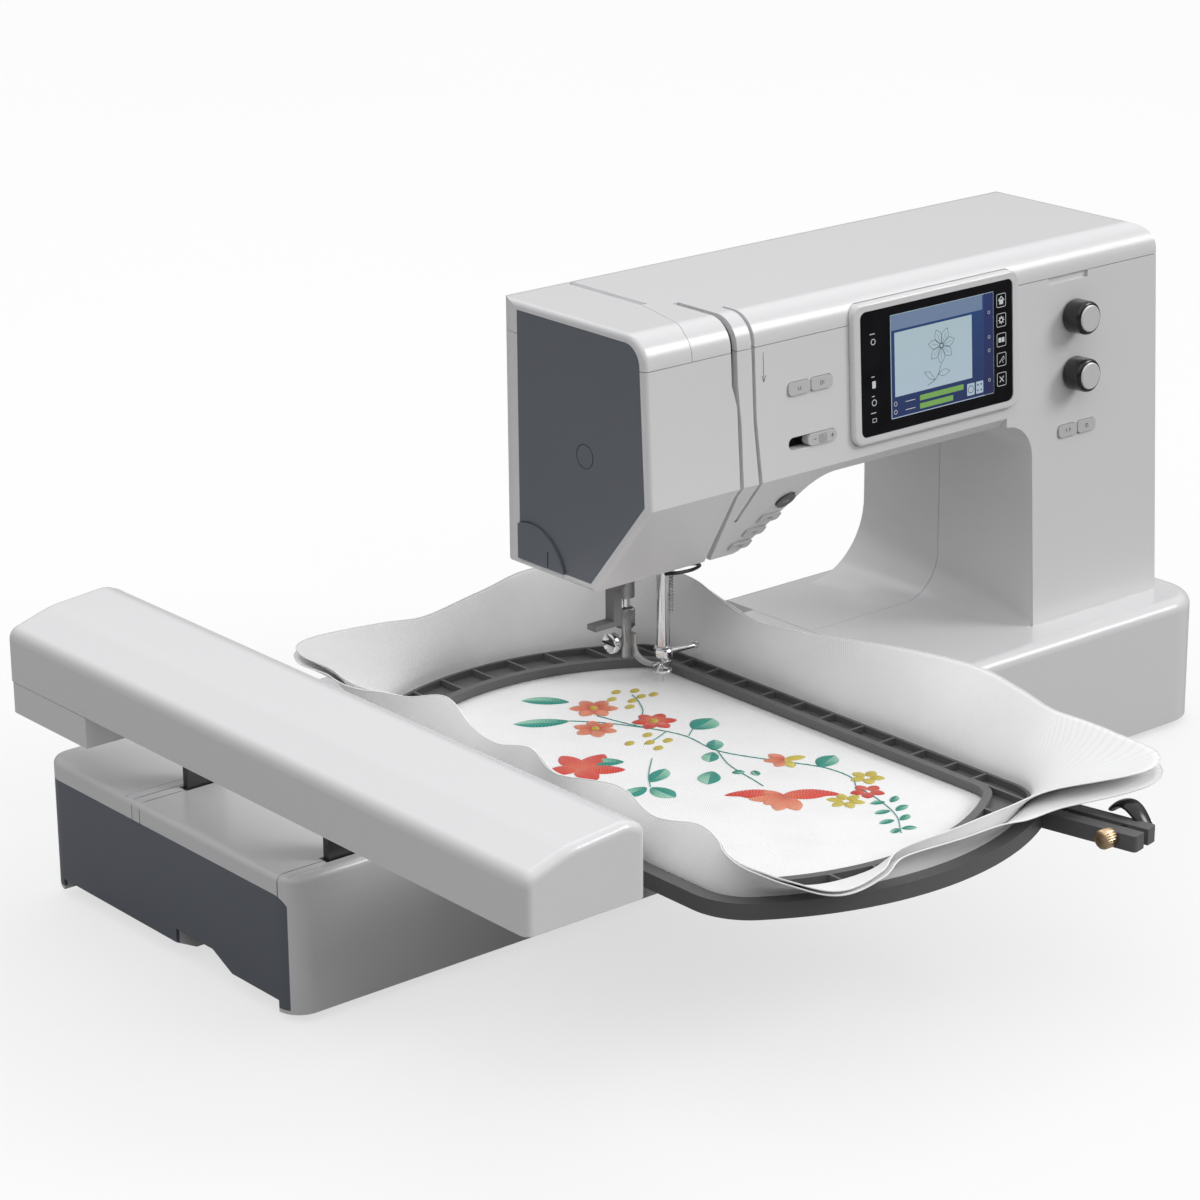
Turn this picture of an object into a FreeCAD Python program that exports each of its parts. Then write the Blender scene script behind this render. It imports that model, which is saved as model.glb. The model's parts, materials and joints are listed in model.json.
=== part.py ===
import FreeCAD
import Part
import Sketcher

import math
import os
import re

from FreeCAD import Placement, Rotation, Vector

# Computer embroidery machine: a C-shaped sewing head with a touch screen, an L-shaped
# embroidery module round its free arm, and a cloth clamped in a hoop on the module's arm.
# Frame: the needle's axis is X = 0, Y = 0, the table is Z = 0, +X runs from the head to
# the pillar, +Y to the back. Millimetres.

doc = FreeCAD.newDocument("EmbroideryMachine")

SIZES = [
    # clearances and walls
    ("wall", 3.0),  # moulded casing wall
    ("seam", 0.4),  # open joint between two casing pieces
    ("loose", 0.3),  # clearance between neighbours that don't run on each other
    ("running", 0.05),  # radial clearance of a shaft in its bore
    # machine envelope
    ("foot_height", 4.0),  # rubber feet, table to casing
    ("bed_height", 79.0),  # table to bed
    ("head_under", 150.0),  # table to the underside of the head
    ("arm_under", 200.0),  # table to the underside of the arm
    ("lid_seam", 279.5),  # table to the lower edge of the lid
    ("top_height", 297.0),  # table to the top of the lid
    ("head_left", 62.0),  # needle to the left face
    ("head_right", 40.0),  # needle to the right end of the head's underside
    ("head_slope", 22.0),  # run of the slope from the head up to the arm
    ("throat", 221.0),  # needle to pillar
    ("pillar_width", 103.0),  # pillar and right end
    ("front_depth", 68.5),  # needle to the front face, at the bed
    ("lean", 0.05),  # the front face leans back by this share of its height
    ("back_depth", 72.0),  # needle to the back face
    ("split_line", 9.4),  # needle to the joint of the front and rear casings
    ("base_left", 120.0),  # needle to the base's left end
    ("base_flare", 20.0),  # the base stands out past the pillar's right side
    ("base_front", 94.0),  # needle to the base's front
    ("base_back", 86.6),  # needle to the base's back
    ("base_corner", 28.0),
    ("chin_top", 205.5),  # where the front face turns back under the head
    ("chin_depth", 43.5),  # run of that slope towards the needle
    ("rim", 4.5),  # frame of casing round the left end cover
    ("end_cover", 3.0),  # thickness of the left end cover
    # free arm
    ("arm_front", 45.0),
    ("arm_back", 58.0),
    ("free_arm_floor", 19.0),
    ("plate_half", 36.0),
    ("plate_thick", 1.6),
    ("plate_back", 32.0),
    ("plate_split", 9.0),  # needle to the joint of the stitch plate and bobbin cover
    # screen, knobs, keys on the leaning front face
    ("screen_left", 81.0),
    ("screen_width", 127.5),
    ("screen_low", 212.0),
    ("screen_tall", 78.0),
    ("screen_proud", 3.2),
    ("screen_depth", 9.0),
    ("glass_margin", 5.5),
    ("glass_thick", 2.0),
    ("knob_radius", 9.8),
    ("knob_tall", 13.0),
    ("knob_x", 255.0),
    ("knob_upper", 255.2),
    ("knob_lower", 222.1),
    ("cap_radius", 7.6),
    ("cap_thick", 1.6),
    ("key_tall", 7.0),
    ("key_proud", 1.1),
    ("key_thick", 5.0),
    ("key_corner", 2.2),
    ("pair_left", 35.6),
    ("pair_width", 32.4),
    ("pair_height", 252.5),
    ("right_pair_left", 241.8),
    ("right_pair_width", 30.7),
    ("right_pair_height", 189.5),
    ("slider_left", 35.7),
    ("slider_length", 34.5),
    ("slider_height", 222.5),
    ("slider_knob", 21.0),
    ("start_radius", 6.0),
    ("chin_key_width", 15.0),
    # needle and presser group
    ("needle_bar_radius", 3.5),
    ("needle_bar_low", 101.0),
    ("needle_bar_high", 262.0),
    ("clamp_low", 93.0),
    ("clamp_radius", 5.0),
    ("needle_shank", 1.0),
    ("needle_tip", 66.0),
    ("presser_x", 12.0),  # the presser bar stands this far left of the needle
    ("presser_y", 18.0),  # and this far behind it
    ("presser_radius", 3.0),
    ("foot_low", 86.0),
    ("foot_ring", 6.6),
    ("foot_thick", 1.4),
    # shafts and hook
    ("shaft_y", 8.0),
    ("shaft_height", 238.0),
    ("shaft_radius", 5.0),
    ("wheel_radius", 31.0),
    ("wheel_width", 17.0),
    ("low_shaft_height", 36.5),
    ("low_shaft_radius", 4.0),
    ("hook_y", 20.0),  # the hook's axis is this far in front of the needle
    ("hook_radius", 17.0),
    ("hook_low", 50.0),
    ("hook_high", 66.0),
    ("hook_gear", 6.0),
    ("bobbin_radius", 10.2),
    # embroidery module
    ("module_left", 311.0),
    ("module_front", 85.0),
    ("module_back", 137.5),
    ("module_top", 77.0),
    ("module_low", 4.0),
    ("module_inner", 66.0),  # needle to the module's wall beside the free arm
    ("module_right", 116.0),  # right end of the front bar
    ("bar_back", 47.5),  # back of the front bar, before the needle
    ("module_corner", 13.0),
    ("module_heel", 14.0),  # radius of the module's lower back edge
    ("panel_low", 10.0),
    ("panel_high", 66.0),
    ("panel_thick", 2.0),
    ("slot_back", 49.0),
    ("slot_front", 73.5),
    ("slot_width", 7.0),
    ("rail_radius", 4.0),
    ("rail_height", 52.0),
    ("arm_travel", 145.0),
    # embroidery arm
    ("beam_left", 323.3),
    ("beam_right", 253.7),
    ("beam_front", 283.0),
    ("beam_back", 147.7),
    ("beam_low", 119.0),
    ("beam_edge", 147.0),
    ("beam_high", 158.0),
    ("strip_front", 74.0),
    ("strip_low", 102.0),
    ("leg_left", 281.0),
    ("leg_right", 259.0),
    ("leg_thick", 4.4),
    # hoop
    ("hoop_x", 76.0),
    ("hoop_y", 108.5),
    ("hoop_low", 79.6),
    ("ring_high", 86.0),
    ("field_half_width", 87.5),
    ("field_half_length", 157.5),
    ("field_end_radius", 140.0),
    ("ring_side", 16.5),  # width of the inner ring along the sides
    ("ring_end", 24.5),  # and at its bowed ends
    ("outer_ring", 8.0),
    ("outer_high", 88.0),
    ("ring_wall", 1.9),
    ("cloth", 0.8),
    ("cloth_rise", 29.0),
    ("cloth_top_left", 172.0),
    ("cloth_top_right", 60.0),
    ("cloth_top_front", 300.0),
    ("cloth_top_back", 96.0),
    ("hoop_travel", 230.0),
    ("carriage_y", 165.0),
    ("carriage_length", 60.0),
    ("ear_thick", 8.0),
    ("ear_gap", 4.0),
    ("ear_length", 52.0),
    ("ear_turn", 12.0),
    ("ear_x", 17.0),
    ("ear_y", 278.0),
    ("bolt_radius", 2.5),
]

sheet = doc.addObject("Spreadsheet::Sheet", "Sizes")
for row, (alias, number) in enumerate(SIZES, start=1):
    sheet.set(f"A{row}", alias)
    sheet.set(f"B{row}", str(number))
    sheet.setAlias(f"B{row}", alias)
doc.recompute()
ALIASES = [alias for alias, _ in SIZES]
LOW_Y = "-hook_y + 3 * hook_gear"  # the lower shaft stands one gear pair behind the hook


class Values:
    """The sheet's numbers, for the shapes that are worked out in this file."""


s = Values()
for alias in ALIASES:
    setattr(s, alias, float(sheet.get(alias)))

AXES = {
    "Z": Rotation(),
    "X": Rotation(Vector(0, 1, 0), 90),
    "Y": Rotation(Vector(1, 0, 0), -90),
}
finished = []


# ---------------------------------------------------------------- document helpers
def bound(text):
    """An expression in which each named size points at the sheet."""
    names = r"[a-z][a-z_]*"
    return re.sub(names, lambda hit: "Sizes." + hit.group() if hit.group() in ALIASES else hit.group(), text)


def place(item, at, rotation):
    item.Placement = Placement(Vector(), rotation)
    for letter, text in zip("xyz", at):
        item.setExpression("Placement.Base." + letter, bound(text))


def box(low, high):
    """A bound box from its low corner to its high corner, each three expressions."""
    item = doc.addObject("Part::Box", "Block")
    for prop, start, end in zip(("Length", "Width", "Height"), low, high):
        item.setExpression(prop, bound(f"({end}) - ({start})"))
    place(item, low, AXES["Z"])
    return item


def rod(radius, length, at, axis="Z"):
    """A bound cylinder that starts at a point and runs along an axis."""
    item = doc.addObject("Part::Cylinder", "Rod")
    item.setExpression("Radius", bound(radius))
    item.setExpression("Height", bound(length))
    place(item, at, AXES[axis])
    return item


def taper(radius, end_radius, length, at, axis="Z"):
    item = doc.addObject("Part::Cone", "Taper")
    item.setExpression("Radius1", bound(radius))
    item.setExpression("Radius2", bound(end_radius))
    item.setExpression("Height", bound(length))
    place(item, at, AXES[axis])
    return item


def fuse(*items):
    joined = doc.addObject("Part::MultiFuse", "Joined")
    joined.Shapes = list(items)
    return joined


def cut(base, *tools):
    item = doc.addObject("Part::Cut", "Cut")
    item.Base = base
    item.Tool = tools[0] if len(tools) == 1 else fuse(*tools)
    return item


def group(*items):
    """Separate solids of one node."""
    item = doc.addObject("Part::Compound", "Group")
    item.Links = list(items)
    return item


def keep(label, item):
    """Names a finished sub-part; its label is its node."""
    item.Label = label
    finished.append(item)
    return item


def feature(label, shape):
    item = doc.addObject("Part::Feature", label)
    item.Shape = shape
    return keep(label, item)


def plane_of(body, role):
    return next(f for f in body.Origin.OriginFeatures if f.Role == role)


def slab(label, width, tall, depth, corner, placement):
    """A pad on a centred rectangle with rounded corners, as a PartDesign body."""
    body = doc.addObject("PartDesign::Body", label)
    sketch = body.newObject("Sketcher::SketchObject", label + "_outline")
    sketch.AttachmentSupport = [(plane_of(body, "XY_Plane"), "")]
    sketch.MapMode = "FlatFace"
    ring = [Vector(-9, -4, 0), Vector(9, -4, 0), Vector(9, 4, 0), Vector(-9, 4, 0)]
    for start, end in zip(ring, ring[1:] + ring[:1]):
        sketch.addGeometry(Part.LineSegment(start, end), False)
    for line in range(4):
        sketch.addConstraint(Sketcher.Constraint("Coincident", line, 2, (line + 1) % 4, 1))
    for line, kind in enumerate(("Horizontal", "Vertical", "Horizontal", "Vertical")):
        sketch.addConstraint(Sketcher.Constraint(kind, line))
    sketch.addConstraint(Sketcher.Constraint("Symmetric", 0, 1, 2, 1, -1, 1))
    across = sketch.addConstraint(Sketcher.Constraint("DistanceX", 0, 1, 0, 2, 18))
    up = sketch.addConstraint(Sketcher.Constraint("DistanceY", 1, 1, 1, 2, 8))
    sketch.setExpression(f"Constraints[{across}]", bound(width))
    sketch.setExpression(f"Constraints[{up}]", bound(tall))
    pad = body.newObject("PartDesign::Pad", label + "_pad")
    pad.Profile = sketch
    pad.setExpression("Length", bound(depth))
    doc.recompute()
    upright = [
        f"Edge{n}"
        for n, edge in enumerate(pad.Shape.Edges, start=1)
        if abs(edge.Vertexes[0].Z - edge.Vertexes[-1].Z) > 1e-6
    ]
    rounding = body.newObject("PartDesign::Fillet", label + "_corners")
    rounding.Base = (pad, upright)
    rounding.setExpression("Radius", bound(corner))
    body.Placement = placement
    return body


# ---------------------------------------------------------------- shape helpers
def prism(points, axis, start, end):
    """A polygon in the plane across an axis, carried from start to end along it.

    The polygon's pairs are (y, z) across X, (x, z) across Y and (x, y) across Z.
    """
    lift = {
        "X": lambda p: Vector(start, p[0], p[1]),
        "Y": lambda p: Vector(p[0], start, p[1]),
        "Z": lambda p: Vector(p[0], p[1], start),
    }[axis]
    along = {"X": Vector(1, 0, 0), "Y": Vector(0, 1, 0), "Z": Vector(0, 0, 1)}[axis]
    wire = Part.makePolygon([lift(p) for p in points] + [lift(points[0])])
    solid = Part.Face(wire).extrude(along * (end - start))
    if solid.Volume < 0:
        solid.reverse()
    return solid


def block(x0, y0, z0, x1, y1, z1):
    return Part.makeBox(x1 - x0, y1 - y0, z1 - z0, Vector(x0, y0, z0))


def straight(edge, axis):
    """True for a straight edge along X, Y or Z."""
    run = edge.Vertexes[-1].Point - edge.Vertexes[0].Point
    others = [abs(getattr(run, a)) for a in "xyz" if a != axis.lower()]
    return run.Length > 1e-6 and abs(edge.Length - run.Length) < 1e-6 and max(others) < 1e-6


def rounded(shape, radius, axis, **at):
    """Fillets the straight edges along an axis that pass through the given places."""
    chosen = [
        edge
        for edge in shape.Edges
        if straight(edge, axis)
        and all(abs(getattr(edge.CenterOfMass, a) - where) < 0.05 for a, where in at.items())
    ]
    return shape.makeFillet(radius, chosen)


def one_solid(shape):
    """A boolean's result as plain solids, without seams left inside its faces."""
    shape = shape.removeSplitter()
    return shape.Solids[0] if len(shape.Solids) == 1 else Part.makeCompound(shape.Solids)


def front(height):
    """Y of the leaning front face at a height."""
    return -s.front_depth + s.lean * (height - s.bed_height)


# ---------------------------------------------------------------- casing of the machine
RIGHT = s.throat + s.pillar_width
BASE_RIGHT = RIGHT + s.base_flare
FAR = 600.0  # past every piece, for tools that cut right through
CHIN_LOW = (front(s.chin_top) + s.chin_depth, s.head_under + 3.5)
CHIN_HIGH = (front(s.chin_top), s.chin_top)
CHIN_RUN = math.hypot(CHIN_LOW[0] - CHIN_HIGH[0], CHIN_HIGH[1] - CHIN_LOW[1])
CHIN_NORMAL = (
    -(CHIN_HIGH[1] - CHIN_LOW[1]) / CHIN_RUN,
    -(CHIN_LOW[0] - CHIN_HIGH[0]) / CHIN_RUN,
)


def chin_tool(inward, x0, x1):
    """The wedge under and before the head's slanted lower front, moved into it."""
    dy, dz = -CHIN_NORMAL[0] * inward, -CHIN_NORMAL[1] * inward
    spread = 0.35
    run_y, run_z = CHIN_LOW[0] - CHIN_HIGH[0], CHIN_LOW[1] - CHIN_HIGH[1]
    high = (CHIN_HIGH[0] - spread * run_y + dy, CHIN_HIGH[1] - spread * run_z + dz)
    low = (CHIN_LOW[0] + spread * run_y + dy, CHIN_LOW[1] + spread * run_z + dz)
    return prism([high, low, (-FAR, low[1]), (-FAR, high[1])], "X", x0, x1)


def upper_body():
    """The head, arm and pillar as one closed solid."""
    low = s.bed_height - 20
    side = prism(
        [(front(low), low), (s.back_depth, low), (s.back_depth, s.top_height), (front(s.top_height), s.top_height)],
        "X",
        -FAR,
        FAR,
    )
    side = rounded(side, 16.0, "X", y=front(s.top_height), z=s.top_height)
    side = rounded(side, 14.0, "X", y=s.back_depth, z=s.top_height)
    slope_top = s.head_right + s.head_slope
    profile = prism(
        [
            (-s.head_left, s.head_under),
            (s.head_right, s.head_under),
            (slope_top, s.arm_under),
            (s.throat, s.arm_under),
            (s.throat, low),
            (RIGHT, low),
            (RIGHT, s.top_height),
            (-s.head_left, s.top_height),
        ],
        "Y",
        -FAR,
        FAR,
    )
    profile = rounded(profile, 20.0, "Y", x=s.throat, z=s.arm_under)
    profile = rounded(profile, 18.0, "Y", x=slope_top, z=s.arm_under)
    profile = rounded(profile, 6.0, "Y", x=s.head_right, z=s.head_under)
    profile = rounded(profile, 11.0, "Y", x=RIGHT, z=s.top_height)
    plan = block(-s.head_left, -FAR, 0, RIGHT, s.back_depth, FAR)
    plan = rounded(plan, 26.0, "Z", x=-s.head_left, y=s.back_depth)
    plan = rounded(plan, 22.0, "Z", x=RIGHT, y=s.back_depth)
    body = side.common(profile).cut(chin_tool(0, -FAR, s.throat - 20.0))
    left_loop = [e for e in body.Edges if all(abs(v.X + s.head_left) < 1e-4 for v in e.Vertexes)]
    return body.makeFillet(3.0, left_loop).common(plan)


def base_block(inset, low, top):
    """The base under the pillar and bed, or with an inset, the space inside it."""
    shape = block(
        s.base_left + inset,
        -s.base_front + inset,
        low,
        BASE_RIGHT - inset,
        s.base_back - inset,
        top,
    )
    corner = s.base_corner - inset
    shape = rounded(shape, corner, "Z", x=BASE_RIGHT - inset, y=-s.base_front + inset)
    return rounded(shape, corner, "Z", x=BASE_RIGHT - inset, y=s.base_back - inset)


def cove():
    """The hollow curve from the bed up the pillar, wide at the back, tight at the front."""

    def section(y, radius):
        x, z = s.throat, s.bed_height
        turn = radius * (1 - math.sqrt(0.5))
        arc = Part.Arc(Vector(x - radius, y, z), Vector(x - turn, y, z + turn), Vector(x, y, z + radius))
        corners = [
            Vector(x, y, z + radius),
            Vector(x + 4, y, z + radius),
            Vector(x + 4, y, z - 4),
            Vector(x - radius, y, z - 4),
            Vector(x - radius, y, z),
        ]
        lines = [Part.LineSegment(a, b).toShape() for a, b in zip(corners, corners[1:])]
        return Part.Wire([arc.toShape()] + lines)

    return Part.makeLoft([section(front(s.bed_height) + 1.5, 4.0), section(s.back_depth, 44.0)], True, True)


def machine_shell():
    """The whole casing, hollow, before it is divided into its pieces."""
    base = base_block(0, s.foot_height, s.bed_height)
    top_edges = [
        edge
        for edge in base.Edges
        if all(abs(v.Z - s.bed_height) < 1e-4 for v in edge.Vertexes) and edge.CenterOfMass.x > s.base_left + 1
    ]
    base = base.makeFillet(7.0, top_edges)
    outer = upper_body().fuse([base, cove()])
    ceiling = s.top_height - s.wall
    inner_front = front(s.arm_under) + 2.6 * s.wall
    left = -s.head_left + s.end_cover + s.wall
    back = s.back_depth - s.wall
    arm_space = block(left, inner_front, s.arm_under + s.wall, RIGHT - s.wall, back, ceiling)
    arm_space = rounded(arm_space, 14.0, "X", y=inner_front, z=ceiling)
    arm_space = rounded(arm_space, 12.0, "X", y=back, z=ceiling)
    arm_space = rounded(arm_space, 19.0, "Z", x=RIGHT - s.wall, y=back)
    arm_space = rounded(arm_space, 20.0, "Z", x=left, y=back)
    head_space = block(left, -s.front_depth, s.head_under + s.wall, s.head_right - s.wall, back, s.lid_seam - 20)
    head_space = rounded(head_space, 20.0, "Z", x=left, y=back)
    head_space = head_space.cut(chin_tool(s.wall, -FAR, FAR))
    head_space = head_space.cut(block(-FAR, -FAR, s.arm_under, FAR, inner_front, FAR))
    end_opening = end_outline(s.rim + 2.0, -s.head_left - 1, left + 1)
    pillar_space = block(
        s.throat + s.wall, inner_front - 6, s.bed_height - 12, RIGHT - s.wall, s.back_depth - s.wall, s.arm_under + 9
    )
    pillar_space = rounded(pillar_space, 19.0, "Z", x=RIGHT - s.wall, y=s.back_depth - s.wall)
    base_space = base_block(s.wall, 0, s.bed_height - s.wall)
    base_edges = [
        edge
        for edge in base_space.Edges
        if all(abs(v.Z - s.bed_height + s.wall) < 1e-4 for v in edge.Vertexes)
        and edge.CenterOfMass.x > s.base_left + s.wall + 1
    ]
    base_space = base_space.makeFillet(4.5, base_edges)
    recess = end_outline(s.rim - s.loose / 2, -s.head_left - 1, -s.head_left + s.end_cover)
    return outer.cut([arm_space, head_space, end_opening, pillar_space, base_space, recess])


def end_outline(inset, x0, x1):
    """The left end's outline, pulled in by an inset, as a prism along X."""
    low, high = s.head_under + inset, s.top_height - inset
    run = (CHIN_LOW[0] - CHIN_HIGH[0]) / (CHIN_LOW[1] - CHIN_HIGH[1])

    def front_at(z):
        return front(z) + inset * math.hypot(1.0, s.lean)

    def chin_at(z):
        """Y of the inset chin line at a height."""
        return CHIN_HIGH[0] - CHIN_NORMAL[0] * inset + run * (z - CHIN_HIGH[1] + CHIN_NORMAL[1] * inset)

    turn = (chin_at(0) - front_at(0)) / (s.lean - run)
    back = s.back_depth - 26.0
    points = [(front_at(turn), turn), (chin_at(low), low), (back, low), (back, high), (front_at(high), high)]
    return rounded(prism(points, "X", x0, x1), max(16.0 - inset, 4.0), "X", y=front_at(high), z=high)


def slot_tools():
    """The take-up lever's slot and the thread slot beside it, down the head's front."""
    top = s.top_height + 10
    lever = [(-3.2, top), (1.1, top), (1.1, 262), (2.8, 240), (3.2, s.arm_under)]
    lever += [(22.0, s.head_under - 4), (17.5, s.head_under - 4), (0.6, s.arm_under), (0, 250), (-3.2, 262)]
    thread = [(11.0, top), (13.4, top), (13.6, 240), (17.0, s.arm_under), (19.0, 178), (16.6, 178)]
    thread += [(14.4, s.arm_under), (11.2, 240)]
    lever_slot = prism(lever, "Y", -FAR, -s.wall * 4)
    return lever_slot, prism(thread, "Y", -FAR, -s.front_depth / 2)


def left_of_slot():
    """All that lies left of the lever slot's left edge."""
    top = s.lid_seam
    edge = [(-3.2, top), (-3.2, 262), (0, 250), (0.6, s.arm_under), (17.5, s.head_under - 4)]
    return prism([(-FAR, top), *edge, (-FAR, s.head_under - 4)], "Y", -FAR, 0)


def lid_joint(offset):
    """All that lies left of the joint between the head's top cover and the lid."""
    x_front, x_back = -30.0 + offset, -17.0 + offset
    wire = Part.Wire(
        [
            Part.LineSegment(Vector(-FAR, -FAR, 0), Vector(x_front, -FAR, 0)).toShape(),
            Part.LineSegment(Vector(x_front, -FAR, 0), Vector(x_front, -52, 0)).toShape(),
            Part.Arc(
                Vector(x_front, -52, 0), Vector(x_back - 5.2, -24, 0), Vector(x_back, -3, 0)
            ).toShape(),
            Part.LineSegment(Vector(x_back, -3, 0), Vector(x_back, FAR, 0)).toShape(),
            Part.LineSegment(Vector(x_back, FAR, 0), Vector(-FAR, FAR, 0)).toShape(),
            Part.LineSegment(Vector(-FAR, FAR, 0), Vector(-FAR, -FAR, 0)).toShape(),
        ]
    )
    return Part.Face(wire).extrude(Vector(0, 0, FAR))


def tilted(x, height, turn, lift=0.0):
    """A frame on the front face: local x along X, local y up the face, local z outwards."""
    y = front(height)
    normal = Vector(0, -math.cos(turn), math.sin(turn))
    return Placement(Vector(x, y, height) + normal * lift, Rotation(Vector(1, 0, 0), 90 - math.degrees(turn)))


LEAN = math.atan(s.lean)
CHIN_TURN = -math.atan2(-CHIN_NORMAL[1], -CHIN_NORMAL[0])


def on_chin(x, share, lift=0.0):
    """A frame on the slanted lower front, at a share of the way down it."""
    y = CHIN_HIGH[0] + share * (CHIN_LOW[0] - CHIN_HIGH[0])
    z = CHIN_HIGH[1] + share * (CHIN_LOW[1] - CHIN_HIGH[1])
    outward = Vector(0, CHIN_NORMAL[0], CHIN_NORMAL[1])
    turn = 90 - math.degrees(CHIN_TURN)
    return Placement(Vector(x, y, z) + outward * lift, Rotation(Vector(1, 0, 0), turn))


def placed(shape, placement):
    shape = shape.copy()
    shape.Placement = placement
    return shape


def tablet(width, tall, depth, corner):
    """A centred plate with rounded corners, from its back face at z = 0."""
    shape = Part.makeBox(width, tall, depth, Vector(-width / 2, -tall / 2, 0))
    return shape.makeFillet(corner, [edge for edge in shape.Edges if straight(edge, "Z")])


def casing_pieces():
    """Divides the shell at its joints and opens it for everything that passes through."""
    shell = machine_shell()
    half = s.seam / 2
    lever_slot, thread_slot = slot_tools()
    screen_hole = placed(
        tablet(s.screen_width + 2 * s.loose, s.screen_tall + 2 * s.loose, 40, 7.0 + s.loose),
        tilted(s.screen_left + s.screen_width / 2, s.screen_low + s.screen_tall / 2, LEAN, -22),
    )
    below = block(-FAR, -FAR, 0, FAR, s.split_line - half, s.lid_seam - half)
    holes = [screen_hole, thread_slot]
    for _, place_of, width, tall, corner, _ in KEYS:
        hole = tablet(width + 2 * s.loose, tall + 2 * s.loose, 24, corner + s.loose)
        holes.append(placed(hole, place_of.multiply(Placement(Vector(0, 0, -18), Rotation()))))
    for height in (s.knob_upper, s.knob_lower):
        stem = Part.makeCylinder(KNOB_STEM + s.running, 30, Vector(0, 0, -20))
        holes.append(placed(stem, tilted(s.knob_x, height, LEAN)))
    slider_slot = tablet(s.slider_length, s.key_tall, 24, s.key_tall / 2 - 0.1)
    slider_middle = s.slider_left + s.slider_length / 2
    holes.append(placed(slider_slot, tilted(slider_middle, s.slider_height, LEAN, -18)))
    holes.append(block(235, -FAR, 275.5, 267, front(277) + 1.8, s.top_height))
    shaft_hole = Part.makeCylinder(
        s.shaft_radius + 1, 60, Vector(RIGHT - 30, s.shaft_y, s.shaft_height), Vector(1, 0, 0)
    )
    under_hole = block(-36, -13, s.head_under - 5, 24, 30, s.head_under + s.wall + 8)
    lifter_hole = block(-10, 20, s.head_under - 5, 2, 64, s.head_under + s.wall + 8)
    axle = Vector(-FAR, HINGE_Y, HINGE_Z)
    hinge_way = Part.makeCylinder(HINGE_REACH, 2 * FAR, axle, Vector(1, 0, 0))
    arm_way = block(
        s.base_left - 1, -s.arm_front + 5, s.free_arm_floor + 3, s.base_left + s.wall + 1, s.arm_back - 6, s.bed_height - 6
    )
    pan_way = block(
        s.base_left - 1, -30.3, 0, s.base_left + s.wall + 1, 45.3, s.foot_height + s.wall + s.loose
    )
    openings = [shaft_hole, under_hole, lifter_hole, arm_way, pan_way]
    front_part = shell.common(below).cut(left_of_slot()).cut([lever_slot, *holes, *openings])
    feature("front_casing", one_solid(front_part))
    head_part = shell.common(below).common(left_of_slot()).cut(openings)
    feature("head_front_cover", one_solid(head_part))
    behind = block(-FAR, s.split_line + half, 0, FAR, FAR, s.lid_seam - half)
    rear_part = shell.common(behind).cut([*openings, hinge_way])
    rear_part = rear_part.cut(block(BASE_RIGHT - 20, 14, 17, BASE_RIGHT + 5, 42, 37))
    brackets = []
    for x0, x1 in HINGE_BRACKETS:
        pin_start = x0 - HINGE_KNUCKLE if x0 < s.throat / 2 else x1
        bracket = block(x0, HINGE_Y - 3.5, s.lid_seam - 12, x1, s.back_depth - s.wall + 0.5, HINGE_Z + 2.4)
        pin = Part.makeCylinder(HINGE_PIN, HINGE_KNUCKLE, Vector(pin_start, HINGE_Y, HINGE_Z), Vector(1, 0, 0))
        brackets += [bracket, pin]
    feature("rear_casing", one_solid(rear_part.fuse(brackets)))
    above = block(-FAR, -FAR, s.lid_seam + half, FAR, FAR, FAR)
    cap = shell.common(above).cut([screen_hole, lever_slot, thread_slot])
    feature("head_top_cover", one_solid(cap.common(lid_joint(-half))))
    lid = cap.cut(lid_joint(half))
    slit = block(-17 + half, -3, s.top_height - 1.6, -13, 60, FAR)
    knuckles, notches, bores = [], [], []
    for x0, x1 in HINGE_BRACKETS:
        start = x0 - HINGE_KNUCKLE - s.loose if x0 < s.throat / 2 else x1 + s.loose
        at = Vector(start, HINGE_Y, HINGE_Z)
        knuckles.append(Part.makeCylinder(2.7, HINGE_KNUCKLE, at, Vector(1, 0, 0)))
        web = block(start, HINGE_Y, HINGE_Z, start + HINGE_KNUCKLE, s.back_depth - 1, HINGE_Z + 2.7)
        knuckles.append(web)
        bores.append(Part.makeCylinder(HINGE_PIN + s.running, 3 * HINGE_KNUCKLE, at - Vector(15, 0, 0), Vector(1, 0, 0)))
        notches.append(block(x0 - s.loose, HINGE_Y - 9, s.lid_seam - 1, x1 + s.loose, FAR, HINGE_Z + 6.5))
    feature("top_lid", one_solid(lid.cut([slit, *notches]).fuse(knuckles).cut(bores)))


HINGE_Y = s.back_depth - 2.9
HINGE_Z = s.lid_seam + 3.1
HINGE_PIN = 1.2
HINGE_REACH = 4.2  # the lid's lower back edge swings inside this radius
HINGE_KNUCKLE = 14.0
HINGE_BRACKETS = [(40.0, 44.0), (RIGHT - 60.0, RIGHT - 56.0)]
KNOB_STEM = 3.0

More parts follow.
